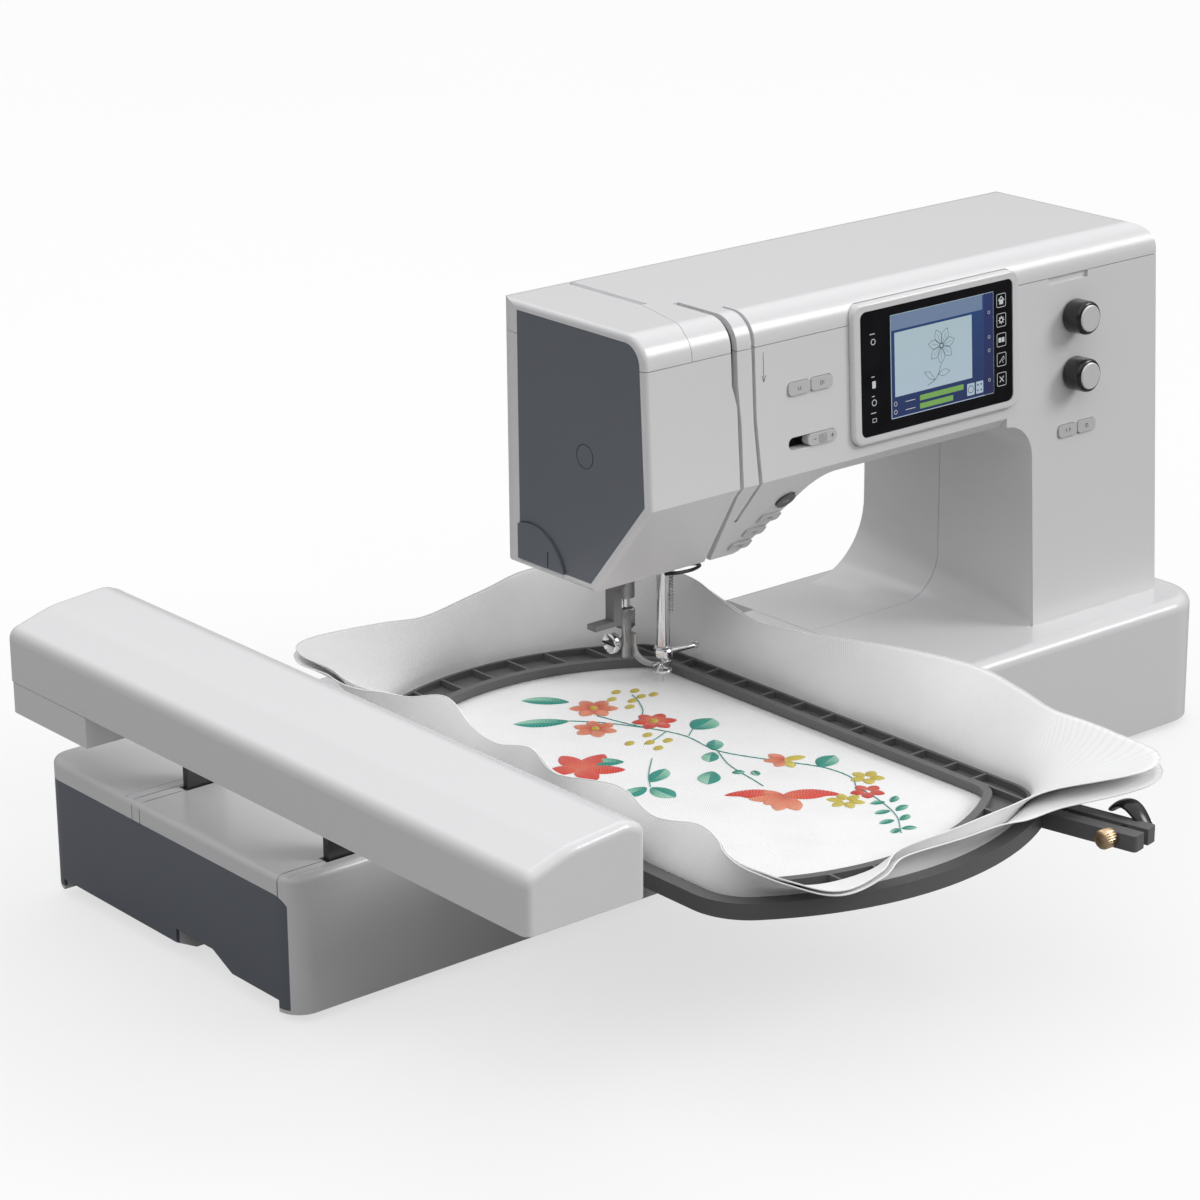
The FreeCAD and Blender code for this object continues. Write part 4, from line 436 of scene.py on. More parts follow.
def painted_leg_shade_below(name, colour, slot_shade_colour, height, places, half):
    """White moulding whose legs are painted near black as painted shade, where they sit in the module's
    slots: below a height and within half a leg of each place along Y.
    """
    make = Finish(name, roughness=0.3, coat_weight=0.2, coat_roughness=0.12)
    where = make.add("SeparateXYZ", {"Vector": make.place()})
    low_part = make.add("Math", {0: where.outputs["Z"], 1: height}, operation="LESS_THAN").outputs["Value"]
    legs = None
    for place in places:
        away = make.add("Math", {0: where.outputs["Y"], 1: place}, operation="SUBTRACT").outputs["Value"]
        away = make.add("Math", {0: away}, operation="ABSOLUTE").outputs["Value"]
        near = make.add("Math", {0: away, 1: half}, operation="LESS_THAN").outputs["Value"]
        legs = near if legs is None else make.add("Math", {0: legs, 1: near}, operation="MAXIMUM").outputs[
            "Value"
        ]
    # painted shade: this mask paints the slots' shadow onto the legs' base colour
    painted_slot_shade_mask = make.add("Math", {0: low_part, 1: legs}, operation="MULTIPLY").outputs["Value"]
    make.join(make.ramp(painted_slot_shade_mask, [(0.0, colour), (1.0, slot_shade_colour)]), "Base Color")
    grains = make.add("TexNoise", {"Vector": make.place(), "Scale": 1500.0, "Detail": 2.0}).outputs["Fac"]
    make.bump(grains, 0.35, 0.03 * MM)
    return make.material


FINISHES = {}


def make_finishes(look):
    """Every finish by the record's slot name, and the extra ones for pieces made here."""
    white = tuple(look.casing_colour)
    FINISHES.update(
        white_casing=moulded("white_casing_gloss", white, look.casing_roughness, coat=0.25),
        bezel_white=moulded("bezel_gloss", tuple(c * 0.96 for c in white), 0.2, coat=0.5),
        dark_panel=moulded(
            "dark_panel_satin", tuple(look.panel_colour), 0.34, relief=0.06, coat=0.15, spread=0.08
        ),
        pale_keys=moulded("pale_key_satin", (0.60, 0.60, 0.605), 0.32, coat=0.2),
        grey_key=moulded("grey_key_satin", (0.07, 0.072, 0.075), 0.35),
        screen_glass=black_glass(),
        black_plastic=moulded("black_satin", (0.012, 0.012, 0.012), 0.4, relief=0.05, spread=0.15),
        black_moulding=moulded("black_moulding", (0.02, 0.02, 0.022), 0.45, relief=0.05, spread=0.1),
        silver_cap=metal("silver_cap", (0.85, 0.85, 0.86), 0.38, direction=(1.0, 12.0, 12.0), metallic=0.45),
        bright_steel=metal("bright_steel", (0.78, 0.78, 0.79), 0.14, direction=(8.0, 8.0, 1.0)),
        cast_frame=metal("cast_alloy", (0.42, 0.42, 0.43), 0.45, brushed=0.3),
        hoop_grey=moulded(
            "hoop_satin", tuple(look.hoop_colour), 0.42, grain=1100.0, relief=0.08, spread=0.06
        ),
        brass=metal("turned_brass", (0.80, 0.58, 0.36), 0.22, direction=(1.0, 1.0, 9.0)),
        cloth=twill_cloth(),
        cloth_edge=moulded("rolled_edge", (0.93, 0.93, 0.93), 0.8, grain=2600.0, relief=0.1),
        board_green=circuit_green(),
        rubber=moulded("rubber_matte", (0.02, 0.02, 0.02), 0.8, relief=0.1, spread=0.1),
        clear_plastic=clear_plastic(),
        # painted shade: the under cover's legs are painted near black where they go down into the module's
        # slots
        arm_underside=painted_leg_shade_below(
            "arm_underside", white, (0.03, 0.03, 0.032), 0.1185, (0.049, -0.0735), 0.0028
        ),
        symbol=moulded("printed_symbol", (0.11, 0.115, 0.12), 0.5, relief=0.01),
        chrome=metal("chrome", (0.86, 0.86, 0.87), 0.07, direction=(2.0, 2.0, 1.0)),
        knob_black=moulded("knob_gloss", (0.010, 0.010, 0.011), 0.2, relief=0.01, coat=0.2, spread=0.1),
        plastic_grey=moulded("grey_moulding", (0.20, 0.20, 0.20), 0.4),
        shank_grey=metal("shank_alloy", (0.5, 0.5, 0.5), 0.3, direction=(1.0, 6.0, 1.0)),
    )


# ---------------------------------------------------------------- settings a user may change
class MachineLook(bpy.types.PropertyGroup):
    """Colours and gloss of the casings, panels and hoop."""

    casing_colour: FloatVectorProperty(
        name="Casing", description="Colour of the white casings", subtype="COLOR", default=(0.78, 0.78, 0.785)
    )
    casing_roughness: FloatProperty(
        name="Casing roughness", description="0 is a mirror", default=0.27, min=0, max=1
    )
    panel_colour: FloatVectorProperty(
        name="Dark panels", description="End cover and module side", subtype="COLOR", default=(
            0.135, 0.148, 0.172
        )
    )
    hoop_colour: FloatVectorProperty(
        name="Hoop", description="Colour of the hoop's rings", subtype="COLOR", default=(0.125, 0.125, 0.126)
    )


class ClothLook(bpy.types.PropertyGroup):
    """Thickness and fineness of the hooped cloth."""

    thickness: FloatProperty(
        name="Cloth", description="Thickness of one layer", default=0.0005, unit="LENGTH"
    )
    round_steps: IntProperty(name="Steps round", description="Cells round the hoop", default=560, min=60)
    rise_steps: IntProperty(name="Steps up", description="Cells from the ring to the edge", default=26, min=4)


class StageLook(bpy.types.PropertyGroup):
    """Floor, key light and sky."""

    floor_colour: FloatVectorProperty(
        name="Floor", description="Floor colour", subtype="COLOR", default=(0.30, 0.30, 0.30)
    )
    floor_glow: FloatProperty(
        name="Floor lift", description="How much paler the floor looks than it lights", default=0.66
    )
    sun: FloatProperty(name="Key light", description="Strength of the key light", default=1.12, min=0)
    sky_levels: FloatVectorProperty(
        name="Sky", description="Brightness at the horizon, part way up and overhead", default=(
            0.06, 0.22, 0.98
        )
    )


# ---------------------------------------------------------------- stage
def build_stage(look):
    """A flat pale floor, a key lamp, a strip lamp, the sky and the camera."""
    floor = bpy.data.meshes.new("floor")
    far = 12.0
    floor.from_pydata([(-far, -far, 0), (far, -far, 0), (far, far, 0), (-far, far, 0)], [], [(0, 1, 2, 3)])
    item = bpy.data.objects.new("floor", floor)
    bpy.context.scene.collection.objects.link(item)
    make = Finish("pale_floor", roughness=0.8, specular_ior_level=0.1)
    speck = make.add("TexNoise", {"Vector": make.place(), "Scale": 3.0, "Detail": 2.0}).outputs["Fac"]
    pale = tuple(look.floor_colour)
    make.join(make.ramp(speck, [(0.3, tuple(c * 0.99 for c in pale)), (0.7, pale)]), "Base Color")
    glow = make.add("Emission", {"Color": (1.0, 1.0, 1.0, 1.0), "Strength": look.floor_glow})
    seen = make.add("AddShader", {0: make.shader.outputs["BSDF"], 1: glow.outputs["Emission"]})
    pick = make.add(
        "MixShader",
        {0: make.add("LightPath").outputs["Is Camera Ray"], 1: make.shader.outputs["BSDF"], 2: seen.outputs[
            "Shader"
        ]},
    )
    surface = next(n for n in make.tree.nodes if n.type == "OUTPUT_MATERIAL")
    make.tree.links.new(pick.outputs["Shader"], surface.inputs["Surface"])
    floor.materials.append(make.material)

    world = bpy.data.worlds.new("studio")
    world.use_nodes = True
    bpy.context.scene.world = world
    tree = world.node_tree
    back = tree.nodes["Background"]
    where = tree.nodes.new("ShaderNodeTexCoord")
    split = tree.nodes.new("ShaderNodeSeparateXYZ")
    tree.links.new(where.outputs["Generated"], split.inputs["Vector"])
    ramp = tree.nodes.new("ShaderNodeValToRGB")
    elements = ramp.color_ramp.elements
    elements[1].position = 0.62
    elements.new(0.25)
    for element, level in zip(elements, look.sky_levels):
        element.color = (level, level, level * 1.01, 1)
    tree.links.new(split.outputs["Z"], ramp.inputs["Fac"])
    path = tree.nodes.new("ShaderNodeLightPath")
    mix = tree.nodes.new("ShaderNodeMix")
    mix.data_type = "RGBA"
    mix.inputs["B"].default_value = (0.93, 0.93, 0.93, 1)
    tree.links.new(path.outputs["Is Camera Ray"], mix.inputs["Factor"])
    tree.links.new(ramp.outputs["Color"], mix.inputs["A"])
    tree.links.new(mix.outputs["Result"], back.inputs["Color"])

    def lamp(name, kind, energy, place, aim, **settings):
        light = bpy.data.lights.new(name, kind)
        light.energy = energy
        for key, value in settings.items():
            setattr(light, key, value)
        holder = bpy.data.objects.new(name, light)
        holder.location = place
        holder.rotation_euler = (Vector(aim) - Vector(place)).to_track_quat("-Z", "Y").to_euler()
        bpy.context.scene.collection.objects.link(holder)

    lamp("key", "SUN", look.sun, (0.63, -0.6, 0.55), (0, 0, 0), angle=math.radians(24))
    lamp("strip_above", "AREA", 3.0, (0.4, 0.9, 1.9), (0.05, 0, 0.2), size=1.2, shape="RECTANGLE", size_y=0.5)

    camera = bpy.data.cameras.new("camera")
    holder = bpy.data.objects.new("camera", camera)
    bpy.context.scene.collection.objects.link(holder)
    yaw, pitch, roll = (math.radians(a) for a in (-39.83, 18.95, 0.43))
    backward = Vector((math.sin(yaw) * math.cos(pitch), -math.cos(yaw) * math.cos(pitch), math.sin(pitch)))
    right = Vector((math.cos(yaw), math.sin(yaw), 0))
    up = backward.cross(right)
    rolled_right = math.cos(roll) * right - math.sin(roll) * up
    rolled_up = math.sin(roll) * right + math.cos(roll) * up
    turn = Matrix((rolled_right, rolled_up, backward)).transposed().to_4x4()
    holder.matrix_world = Matrix.Translation((-1.2345, -1.4296, 0.7844)) @ turn
    camera.sensor_width = 36.0
    camera.lens = 110.0
    camera.shift_x = -0.0026
    camera.shift_y = -0.0116
    camera.clip_end = 60.0
    scene = bpy.context.scene
    scene.camera = holder
    scene.view_settings.view_transform = "Standard"


# ---------------------------------------------------------------- hooped cloth
HOOP_MIDDLE = np.array([-0.0760, -0.1085])
RING_HALF = np.array([0.104, 0.182])
RING_END_RADIUS = 0.165
RING_CORNER = 0.026


def ring_outline(grow, count):
    """The inner ring's plan: straight sides, bowed ends, round corners, evenly divided, with its normals."""
    half_width, half_length = RING_HALF + grow
    end_radius, corner = RING_END_RADIUS + grow, RING_CORNER + grow
    reach = half_length - end_radius
    corner_x = half_width - corner
    corner_y = reach + math.sqrt((end_radius - corner) ** 2 - corner_x**2)
    start = math.atan2(corner_y - reach, corner_x)
    bow = np.linspace(start, math.pi - start, 300)
    end = np.c_[end_radius * np.cos(bow), reach + end_radius * np.sin(bow)]
    turn = np.linspace(0, start, 60)[:-1]
    right = np.c_[corner_x + corner * np.cos(turn), corner_y + corner * np.sin(turn)]
    half = np.vstack([right, end, (right * [-1, 1])[::-1]])
    ring = np.vstack([half, -half, half[:1]])
    run = np.r_[0, np.cumsum(np.hypot(*np.diff(ring, axis=0).T))]
    place = np.linspace(0, run[-1], count, endpoint=False)
    points = np.c_[np.interp(place, run, ring[:, 0]), np.interp(place, run, ring[:, 1])]
    tangent = np.roll(points, -1, 0) - np.roll(points, 1, 0)
    tangent /= np.linalg.norm(tangent, axis=1)[:, None]
    return points + HOOP_MIDDLE, np.c_[tangent[:, 1], -tangent[:, 0]], run[-1]


BRIM = 0.0884  # just above the outer hoop's rim
GAP_MIDDLE = 0.0007  # from the inner ring to the middle of the gap
RING_DEPTH = 0.010  # how far the cloth goes down between the rings
HEM = 0.00042  # radius of the rolled edge
FIELD_LEVEL = 0.0804  # height of the clamped cloth
FIELD_STEPS = 22  # cells from the middle of the field to the ring
WALL_STEPS = 5  # levels of the wall between the rings

# share of the way round from the right side, lean outwards in mm, height in mm
CLOTH_EDGE = [
    (0.000, 20, 120), (0.030, 32, 123), (0.067, 38, 122), (0.100, 22, 120), (0.138, 15, 117),
    (0.160, 26, 117), (0.186, 52, 113), (0.200, 46, 112), (0.218, 16, 113), (0.240, -4, 111),
    (0.264, -9, 113), (0.288, -15, 118), (0.314, -10, 111), (0.338, -7, 110), (0.360, -11, 113),
    (0.386, -6, 109), (0.422, -14, 111), (0.454, -9, 107), (0.482, -15, 109), (0.512, -3, 106),
    (0.535, 24, 105), (0.552, 38, 104), (0.574, 24, 104), (0.594, 5, 104), (0.632, 5, 106),
    (0.661, 8, 106), (0.690, 18, 106), (0.714, 50, 107), (0.724, 63, 108), (0.733, 46, 111),
    (0.748, 33, 115), (0.775, 35, 119), (0.808, 38, 121), (0.853, 28, 121), (0.906, 10, 119),
    (0.943, 5, 118), (0.972, 11, 119),
]


def edge_curve(count):
    """Lean and height of the cloth's edge all the way round, in metres, as a smooth closed curve."""
    control = np.array(CLOTH_EDGE, float)
    control = np.vstack([control, control[:1] + [1.0, 0, 0]])
    dense = curve_through(control, 4000)
    share = np.linspace(0, 1, count, endpoint=False)
    return np.interp(share, dense[:, 0], dense[:, 1]) * MM, np.interp(share, dense[:, 0], dense[:, 2]) * MM


def skirt_grid(look, start_height):
    """The loose cloth and its outward normals: from the gap between the rings it rises and leans out as a
    power of the way up, with a small ripple between."""
    base, normal, around = ring_outline(GAP_MIDDLE, look.round_steps)
    lean, height = edge_curve(look.round_steps)
    share = np.linspace(0, 1, look.round_steps, endpoint=False)
    rise = np.linspace(0, 1, look.rise_steps)[:, None]
    ripple = 0.0016 * np.sin(2 * math.pi * (9 * share + 0.4)) * np.sin(math.pi * rise)
    outward = lean[None, :] * rise**1.7 + ripple
    level = start_height + (height[None, :] - start_height) * rise**0.92
    points = np.dstack([base[None] + normal[None] * outward[..., None], level])
    around_way = np.roll(points, -1, axis=1) - np.roll(points, 1, axis=1)
    out = np.cross(around_way, np.gradient(points, axis=0))
    out /= np.linalg.norm(out, axis=2)[..., None]
    climb = rise * (height - start_height)[None, :] + RING_DEPTH
    uv = np.dstack([np.broadcast_to(share * around, climb.shape), climb])
    return points, out, uv, around


def sheet_grid(look, level, grow, apart):
    """One whole sheet: the field is the ring's outline shrunk to its middle, then the wall in the gap and
    the skirt, moved off the middle surface by apart(rise, share) along its normals. The last column
    repeats the first."""
    steps = look.round_steps
    outline, _, _ = ring_outline(grow, steps)
    shrink = np.linspace(0.0, 1.0, FIELD_STEPS)[:, None, None]
    flat = HOOP_MIDDLE + (outline - HOOP_MIDDLE)[None] * shrink
    field = np.dstack([flat, np.full(flat.shape[:2], level)])
    climb = np.broadcast_to(np.linspace(level, BRIM, WALL_STEPS)[1:, None], (WALL_STEPS - 1, steps))
    wall = np.dstack([np.broadcast_to(outline, (WALL_STEPS - 1, steps, 2)), climb])
    points, out, uv, around = skirt_grid(look, BRIM)
    rise = np.linspace(0, 1, look.rise_steps)[:, None]
    share = np.linspace(0, 1, steps, endpoint=False)[None, :]
    points = points + out * apart(rise, share)[..., None]
    wall_uv = np.dstack([np.broadcast_to(uv[:1, :, 0], climb.shape), climb - BRIM + RING_DEPTH])
    whole = np.vstack([field, wall, points[1:]])
    whole_uv = np.vstack([flat, wall_uv, uv[1:]])
    last_uv = whole_uv[:, :1].copy()
    last_uv[len(field):, 0, 0] += around
    return np.hstack([whole, whole[:, :1]]), np.hstack([whole_uv, last_uv]), points[-1]


LAYERS = [
    # piece, level of its field, place in the gap, distance off the middle surface at rise and share
    ("hooped_cloth", FIELD_LEVEL, 0.0004, lambda rise, share: np.full((len(rise), share.size), -0.0003)),
    ("stabiliser_layer", 0.0798, 0.0010, lambda rise, share: (
        0.0003 + 0.0009 * rise + 0.0085 * rise**2 * np.exp(-(((share - 0.675) / 0.075) ** 2))
        + 0.0030 * rise**2 * np.exp(-(((share - 0.19) / 0.05) ** 2))
        + 0.0045 * rise**2 * np.exp(-(((share - 0.90) / 0.09) ** 2)))),
]


def build_cloth(look):
    """The cloth and the stabiliser under it: two thick sheets, each with a rolled hem along its edge."""
    for name, level, grow, apart in LAYERS:
        points, uv, edge = sheet_grid(look, level, grow, apart)
        sheet = Form().grid(points, uv=uv)
        sheet = sheet.make(
            name, "hoop", FINISHES["cloth"], "cloth", ["fabric"] if grow < GAP_MIDDLE else (), weld=1e-6
        )
        thicken(sheet, look.thickness)
        hem = Form().grid(tube(np.vstack([edge, edge[:2]]), HEM, 8), wrap_v=True)
        hem = hem.make(name + "_hem", "hoop", FINISHES["cloth_edge"], "cloth", closed=True)


def thicken(item, thickness, offset=0.0):
    """Gives a surface its thickness, half to each side when the offset is 0."""
    wall = item.modifiers.new("thickness", "SOLIDIFY")
    wall.thickness = thickness
    wall.offset = offset


# ---------------------------------------------------------------- embroidery
CLOTH_TOP = FIELD_LEVEL + 0.00035  # the upper face of the cloth, where the stitches start


def petal(root, angle, length, width, rise=0.9, bend=0.0, sharp=1.0, threads=None):
    """A satin petal: its width is a sine to a power along it, its height a dome with a ridge per stitch."""
    count = threads or max(8, int(length / 0.62))
    along = np.linspace(0, 1, 3 * count + 1)
    across = np.linspace(-1, 1, 9)
    half = width / 2 * np.sin(math.pi * np.clip(along, 0.0, 1.0) ** sharp) ** 0.62
    half = half * (0.95 + 0.05 * np.cos(2 * math.pi * count * along))
    spine = np.c_[length * along, bend * length * along**2]
    normal = np.c_[-2 * bend * along, np.ones_like(along)]
    normal /= np.linalg.norm(normal, axis=1)[:, None]
    flat = spine[:, None] + normal[:, None] * (half[:, None] * across[None])[..., None]
    turn = np.array([[math.cos(angle), -math.sin(angle)], [math.sin(angle), math.cos(angle)]])
    flat = flat @ turn.T + np.asarray(root)
    ridge = 0.5 + 0.5 * np.cos(2 * math.pi * count * along)[:, None]
    dome = np.sqrt(np.clip(1 - across[None] ** 2, 0, 1))
    full = np.clip(half[:, None] / (width / 2), 0, 1)
    height = dome * full * (rise - 0.22 * ridge)
    points = np.dstack([flat * MM, CLOTH_TOP + height * MM])
    uv = np.dstack(np.meshgrid(along, (across + 1) / 2, indexing="ij"))
    return points, uv


def leaf_halves(root, angle, length, width, bend=0.0):
    """A leaf in two rows of slanted stitches that meet at its vein."""
    count = max(8, int(length / 0.7))
    along = np.linspace(0, 1, 3 * count + 1)
    halves = []
    for sign in (1, -1):
        across = np.linspace(0, 1, 7)
        half = width / 2 * np.sin(math.pi * along**0.85) ** 0.8
        spine = np.c_[length * along, bend * length * along**2]
        normal = np.c_[-2 * bend * along, np.ones_like(along)] * sign
        normal /= np.linalg.norm(normal, axis=1)[:, None]
        slant = 0.10 * length * across[None] * np.sin(math.pi * along)[:, None]
        flat = spine[:, None] + normal[:, None] * (half[:, None] * across[None])[..., None]
        flat[..., 0] += slant
        turn = np.array([[math.cos(angle), -math.sin(angle)], [math.sin(angle), math.cos(angle)]])
        flat = flat @ turn.T + np.asarray(root)
        ridge = 0.5 + 0.5 * np.cos(2 * math.pi * count * along)[:, None]
        dome = np.sqrt(np.clip(1 - (2 * across[None] - 1) ** 2, 0, 1))
        full = np.clip(half[:, None] / (width / 2), 0, 1)
        height = dome * full * (0.75 - 0.12 * ridge)
        points = np.dstack([flat * MM, CLOTH_TOP + height * MM])
        halves.append((points, np.dstack(np.meshgrid(along, across, indexing="ij")), sign < 0))
    return halves


def blossom(form, centre, radius, petals, width, start=0.0, rise=0.9):
    """Petals evenly round a centre."""
    for step in range(petals):
        angle = start + 2 * math.pi * step / petals
        root = np.asarray(centre) + 0.16 * radius * np.array([math.cos(angle), math.sin(angle)])
        points, uv = petal(root, angle, radius * 0.86, width, rise)
        form.grid(points, uv=uv)


def stem_line(form, points):
    """A running stitch: a thin round thread just above the cloth along a smooth curve."""
    flat = curve_through(np.asarray(points, float), 14 * len(points))
    height = CLOTH_TOP + 0.00012 + 0.00008 * np.cos(np.arange(len(flat)) * 2.1)
    form.grid(tube(np.c_[flat * MM, height], 0.00028, sides=6), wrap_v=True)


# centre x, y, petal length, petals, petal width, first petal's angle
CORAL_FLOWERS = [(-56, -8, 13.0, 6, 8.6, 0.35), (-75, -32, 12.0, 6, 8.0, 0.0)]
RED_FLOWERS = [(-44, -44, 12.0, 6, 7.8, 0.5), (-27, -190, 9.0, 5, 6.6, 0.2)]
YELLOW_FLOWERS = [(-14, -176, 9.2, 5, 6.4, 0.4), (-44, -192, 9.8, 6, 5.6, 0.1)]
BERRIES = [
    (-40, -4), (-31, 3), (-22, -2), (-25, -11), (-18, -13), (-33, -13), (-40, -19),
    (-60, -57), (-66, -66), (-57, -70), (-75, -60), (-68, -75),
]
LEAVES = [
    # root x, y, angle in degrees, length, width, bend
    (-60, 8, 128, 26, 11, 0.10), (-78, -14, 152, 30, 11.5, -0.08), (-36, -66, 8, 19, 16, 0.12),
    (-48, -96, 40, 15, 9, 0.1), (-50, -98, 215, 14, 9, 0.1), (-68, -118, 215, 18, 12, 0.1),
    (-22, -150, 28, 18, 12, -0.1), (-62, -126, 330, 7, 5, 0.0), (-52, -131, 250, 7, 5, 0.0),
    (-94, -78, 140, 20, 11, 0.1), (-102, -108, 20, 20, 10, 0.1), (-108, -112, 190, 18, 10, -0.1),
    (-106, -114, 265, 18, 12, 0.1), (-30, -206, 150, 8, 4.4, 0.1), (-28, -208, 20, 9, 4.4, 0.1),
    (-36, -216, 160, 9, 4.4, 0.1), (-34, -218, 15, 10, 4.8, -0.1), (-43, -226, 165, 9, 4.6, 0.1),
    (-41, -228, 10, 9, 4.6, 0.1), (-49, -235, 200, 7, 4.2, 0.0), (-48, -236, 330, 8, 4.4, 0.0),
]
STEMS = [
    [(-62, -18), (-56, -42), (-46, -70), (-47, -98), (-36, -124), (-22, -150), (-20, -170), (-27, -182)],
    [(-78, -14), (-66, -28), (-54, -48)], [(-56, -42), (-40, -30), (-31, -16), (-27, -6)],
    [(-50, -60), (-60, -64), (-70, -66)], [(-47, -98), (-56, -118), (-60, -140), (-62, -150)],
    [(-27, -182), (-30, -200), (-38, -222), (-52, -240)], [(-36, -124), (-34, -134), (-30, -140)],
    [(-80, -84), (-96, -100), (-106, -113)], [(-36, -66), (-44, -72)],
]


def build_embroidery():
    """The stitched flowers, leaves, stems and seeds: petals are placed round centres and along stems."""
    green = satin_thread("thread_green", (0.005, 0.30, 0.22), (0.02, 0.36, 0.27), (0.01, 0.33, 0.25))
    mint = satin_thread("thread_mint", (0.01, 0.30, 0.23), (0.42, 0.72, 0.55), (0.25, 0.60, 0.44))
    coral = satin_thread("thread_coral", (0.72, 0.10, 0.045), (0.92, 0.34, 0.20), (0.88, 0.25, 0.13))
    scarlet = satin_thread("thread_scarlet", (0.84, 0.16, 0.08), (0.74, 0.045, 0.03), (0.80, 0.085, 0.05))
    yellow = satin_thread("thread_yellow", (0.72, 0.55, 0.05), (0.80, 0.68, 0.12))
    form = Form()
    for x, y, length, petals, width, start in CORAL_FLOWERS:
        blossom(form, (x, y), length, petals, width, start)
    for angle in (200, 232, 264, 296, 328):
        points, uv = petal((-63, -168), math.radians(angle - 82), 19 if angle != 264 else 15, 10.5, 1.1)
        form.grid(points, uv=uv)
    for angle in (95, 150, 205):
        points, uv = petal((-29, -130), math.radians(angle), 11, 7.5, 0.9)
        form.grid(points, uv=uv)
    form.make("petals_coral", "hoop", coral, "cloth")
    form = Form()
    for x, y, length, petals, width, start in RED_FLOWERS:
        blossom(form, (x, y), length, petals, width, start)
    for angle, bend, length in ((150, 0.55, 26), (30, -0.55, 26), (190, -0.35, 24), (-10, 0.35, 24)):
        points, uv = petal((-63, -166), math.radians(angle - 40), length, 10.0, 1.1, bend)
        form.grid(points, uv=uv)
    for angle, length in ((70, 20), (10, 24), (-50, 24), (-105, 18), (150, 16)):
        points, uv = petal((-118, -70), math.radians(angle), length, 12.5, 1.1, 0.12)
        form.grid(points, uv=uv)
    form.make("petals_scarlet", "hoop", scarlet, "cloth")
    form = Form()
    for x, y, length, petals, width, start in YELLOW_FLOWERS:
        blossom(form, (x, y), length, petals, width, start)
    for x, y in BERRIES:
        points, uv = petal((x - 3.2, y - 1.0), math.radians(18), 7.2, 5.0, 1.0, sharp=1.0)
        form.grid(points, uv=uv)
    for x, y, *_ in CORAL_FLOWERS + RED_FLOWERS[:1]:
        points, uv = petal((x - 2.6, y), 0.0, 5.2, 5.2, 1.5)
        form.grid(points, uv=uv)
    for angle in (-20, 250):
        points, uv = petal((-29, -130), math.radians(angle), 12, 6.5, 0.9)
        form.grid(points, uv=uv)
    form.make("petals_yellow", "hoop", yellow, "cloth")
    dark, pale = Form(), Form()
    for x, y, degrees, length, width, bend in LEAVES:
        for (points, uv, flip), target in zip(
            leaf_halves((x, y), math.radians(degrees), length, width, bend), (dark, pale)
        ):
            target.grid(points, uv=uv, flip=flip)
    for stem in STEMS:
        stem_line(dark, stem)
    dark.make("leaves_green", "hoop", green, "cloth")
    pale.make("leaves_mint", "hoop", mint, "cloth")


# ---------------------------------------------------------------- faces of the machine
def points_of(node):
    """Every mesh point of a frame piece."""
    mesh = NODES[node].data
    points = np.empty(3 * len(mesh.vertices), np.float32)
    mesh.vertices.foreach_get("co", points)
    return points.reshape(-1, 3).astype(float)


class Face:
    """A flat face: millimetres to the right and up from its centre, and out along its normal."""

    def __init__(self, centre, up):
        self.centre = np.asarray(centre, float)
        self.up = np.asarray(up, float)
        self.out = np.cross(RIGHTWARDS, self.up)

    @classmethod
    def front_of(cls, node, up=FACE_UP):
        """The foremost plane of a frame piece, at the middle of its box."""
        face = cls(middle(node), up)
        face.centre = face.centre + face.out * ((points_of(node) @ face.out).max() - face.centre @ face.out)
        return face

    def at(self, flat, proud=0.0):
        """The point at flat millimetres on the face, raised by proud along its normal."""
        flat = np.asarray(flat, float)
        return self.centre + (flat[..., :1] * RIGHTWARDS + flat[..., 1:2] * self.up + proud * self.out) * MM

    def plate(self, form, left, low_edge, right, high_edge, corner=0.4, proud=0.02, thick=0.05):
        """A thin plate with round corners."""
        outline = rounded_outline((right - left) * MM, (high_edge - low_edge) * MM, corner * MM)
        where = self.at(((left + right) / 2, (low_edge + high_edge) / 2), proud)
        form.grid(lifted(outline, where, RIGHTWARDS, self.up, (0, thick * MM), (0, 0)), wrap_v=True)

    def line(self, form, path, width=0.25, proud=0.02, thick=0.05):
        """A printed line: each point goes half the width to either side, with an under and an upper face."""
        path = np.asarray(path, float)
        tangent = np.gradient(path, axis=0)
        tangent /= np.maximum(np.linalg.norm(tangent, axis=1)[:, None], 1e-9)
        side = np.c_[-tangent[:, 1], tangent[:, 0]] * width / 2
        rows = [self.at(path + side, proud), self.at(path + side, proud + thick)]
        rows = np.stack([*rows, self.at(path - side, proud + thick), self.at(path - side, proud)], axis=1)
        ends = [np.repeat(rows[k].mean(axis=0)[None, None], 4, axis=1) for k in (0, -1)]
        form.grid(np.concatenate([ends[0], rows, ends[1]]), wrap_v=True)


def dense(corners_of, step=0.25):
    """Straight lines through the corners, divided evenly."""
    corners_of = np.asarray(corners_of, float)
    run = np.r_[0, np.cumsum(np.hypot(*np.diff(corners_of, axis=0).T))]
    place = np.linspace(0, run[-1], max(2, int(run[-1] / step) + 1))
    return np.c_[np.interp(place, run, corners_of[:, 0]), np.interp(place, run, corners_of[:, 1])]


def ring_line(radius, start=0.0, end=2 * math.pi, centre=(0, 0), count=28):
    """An arc of a circle."""
    angle = np.linspace(start, end, count)
    return np.c_[centre[0] + radius * np.cos(angle), centre[1] + radius * np.sin(angle)]


def frame_line(half_width, half_tall, corner=0.3, centre=(0, 0)):
    """A rectangle's outline with round corners, closed."""
    ring = rounded_outline(2 * half_width, 2 * half_tall, corner) + centre
    return np.vstack([ring, ring[:1]])


# ---------------------------------------------------------------- display
ICON_COLUMN = 49.7  # mm to the right of the screen's middle
ICON_ROWS = (23.4, 12.3, 1.1, -10.0, -21.3)


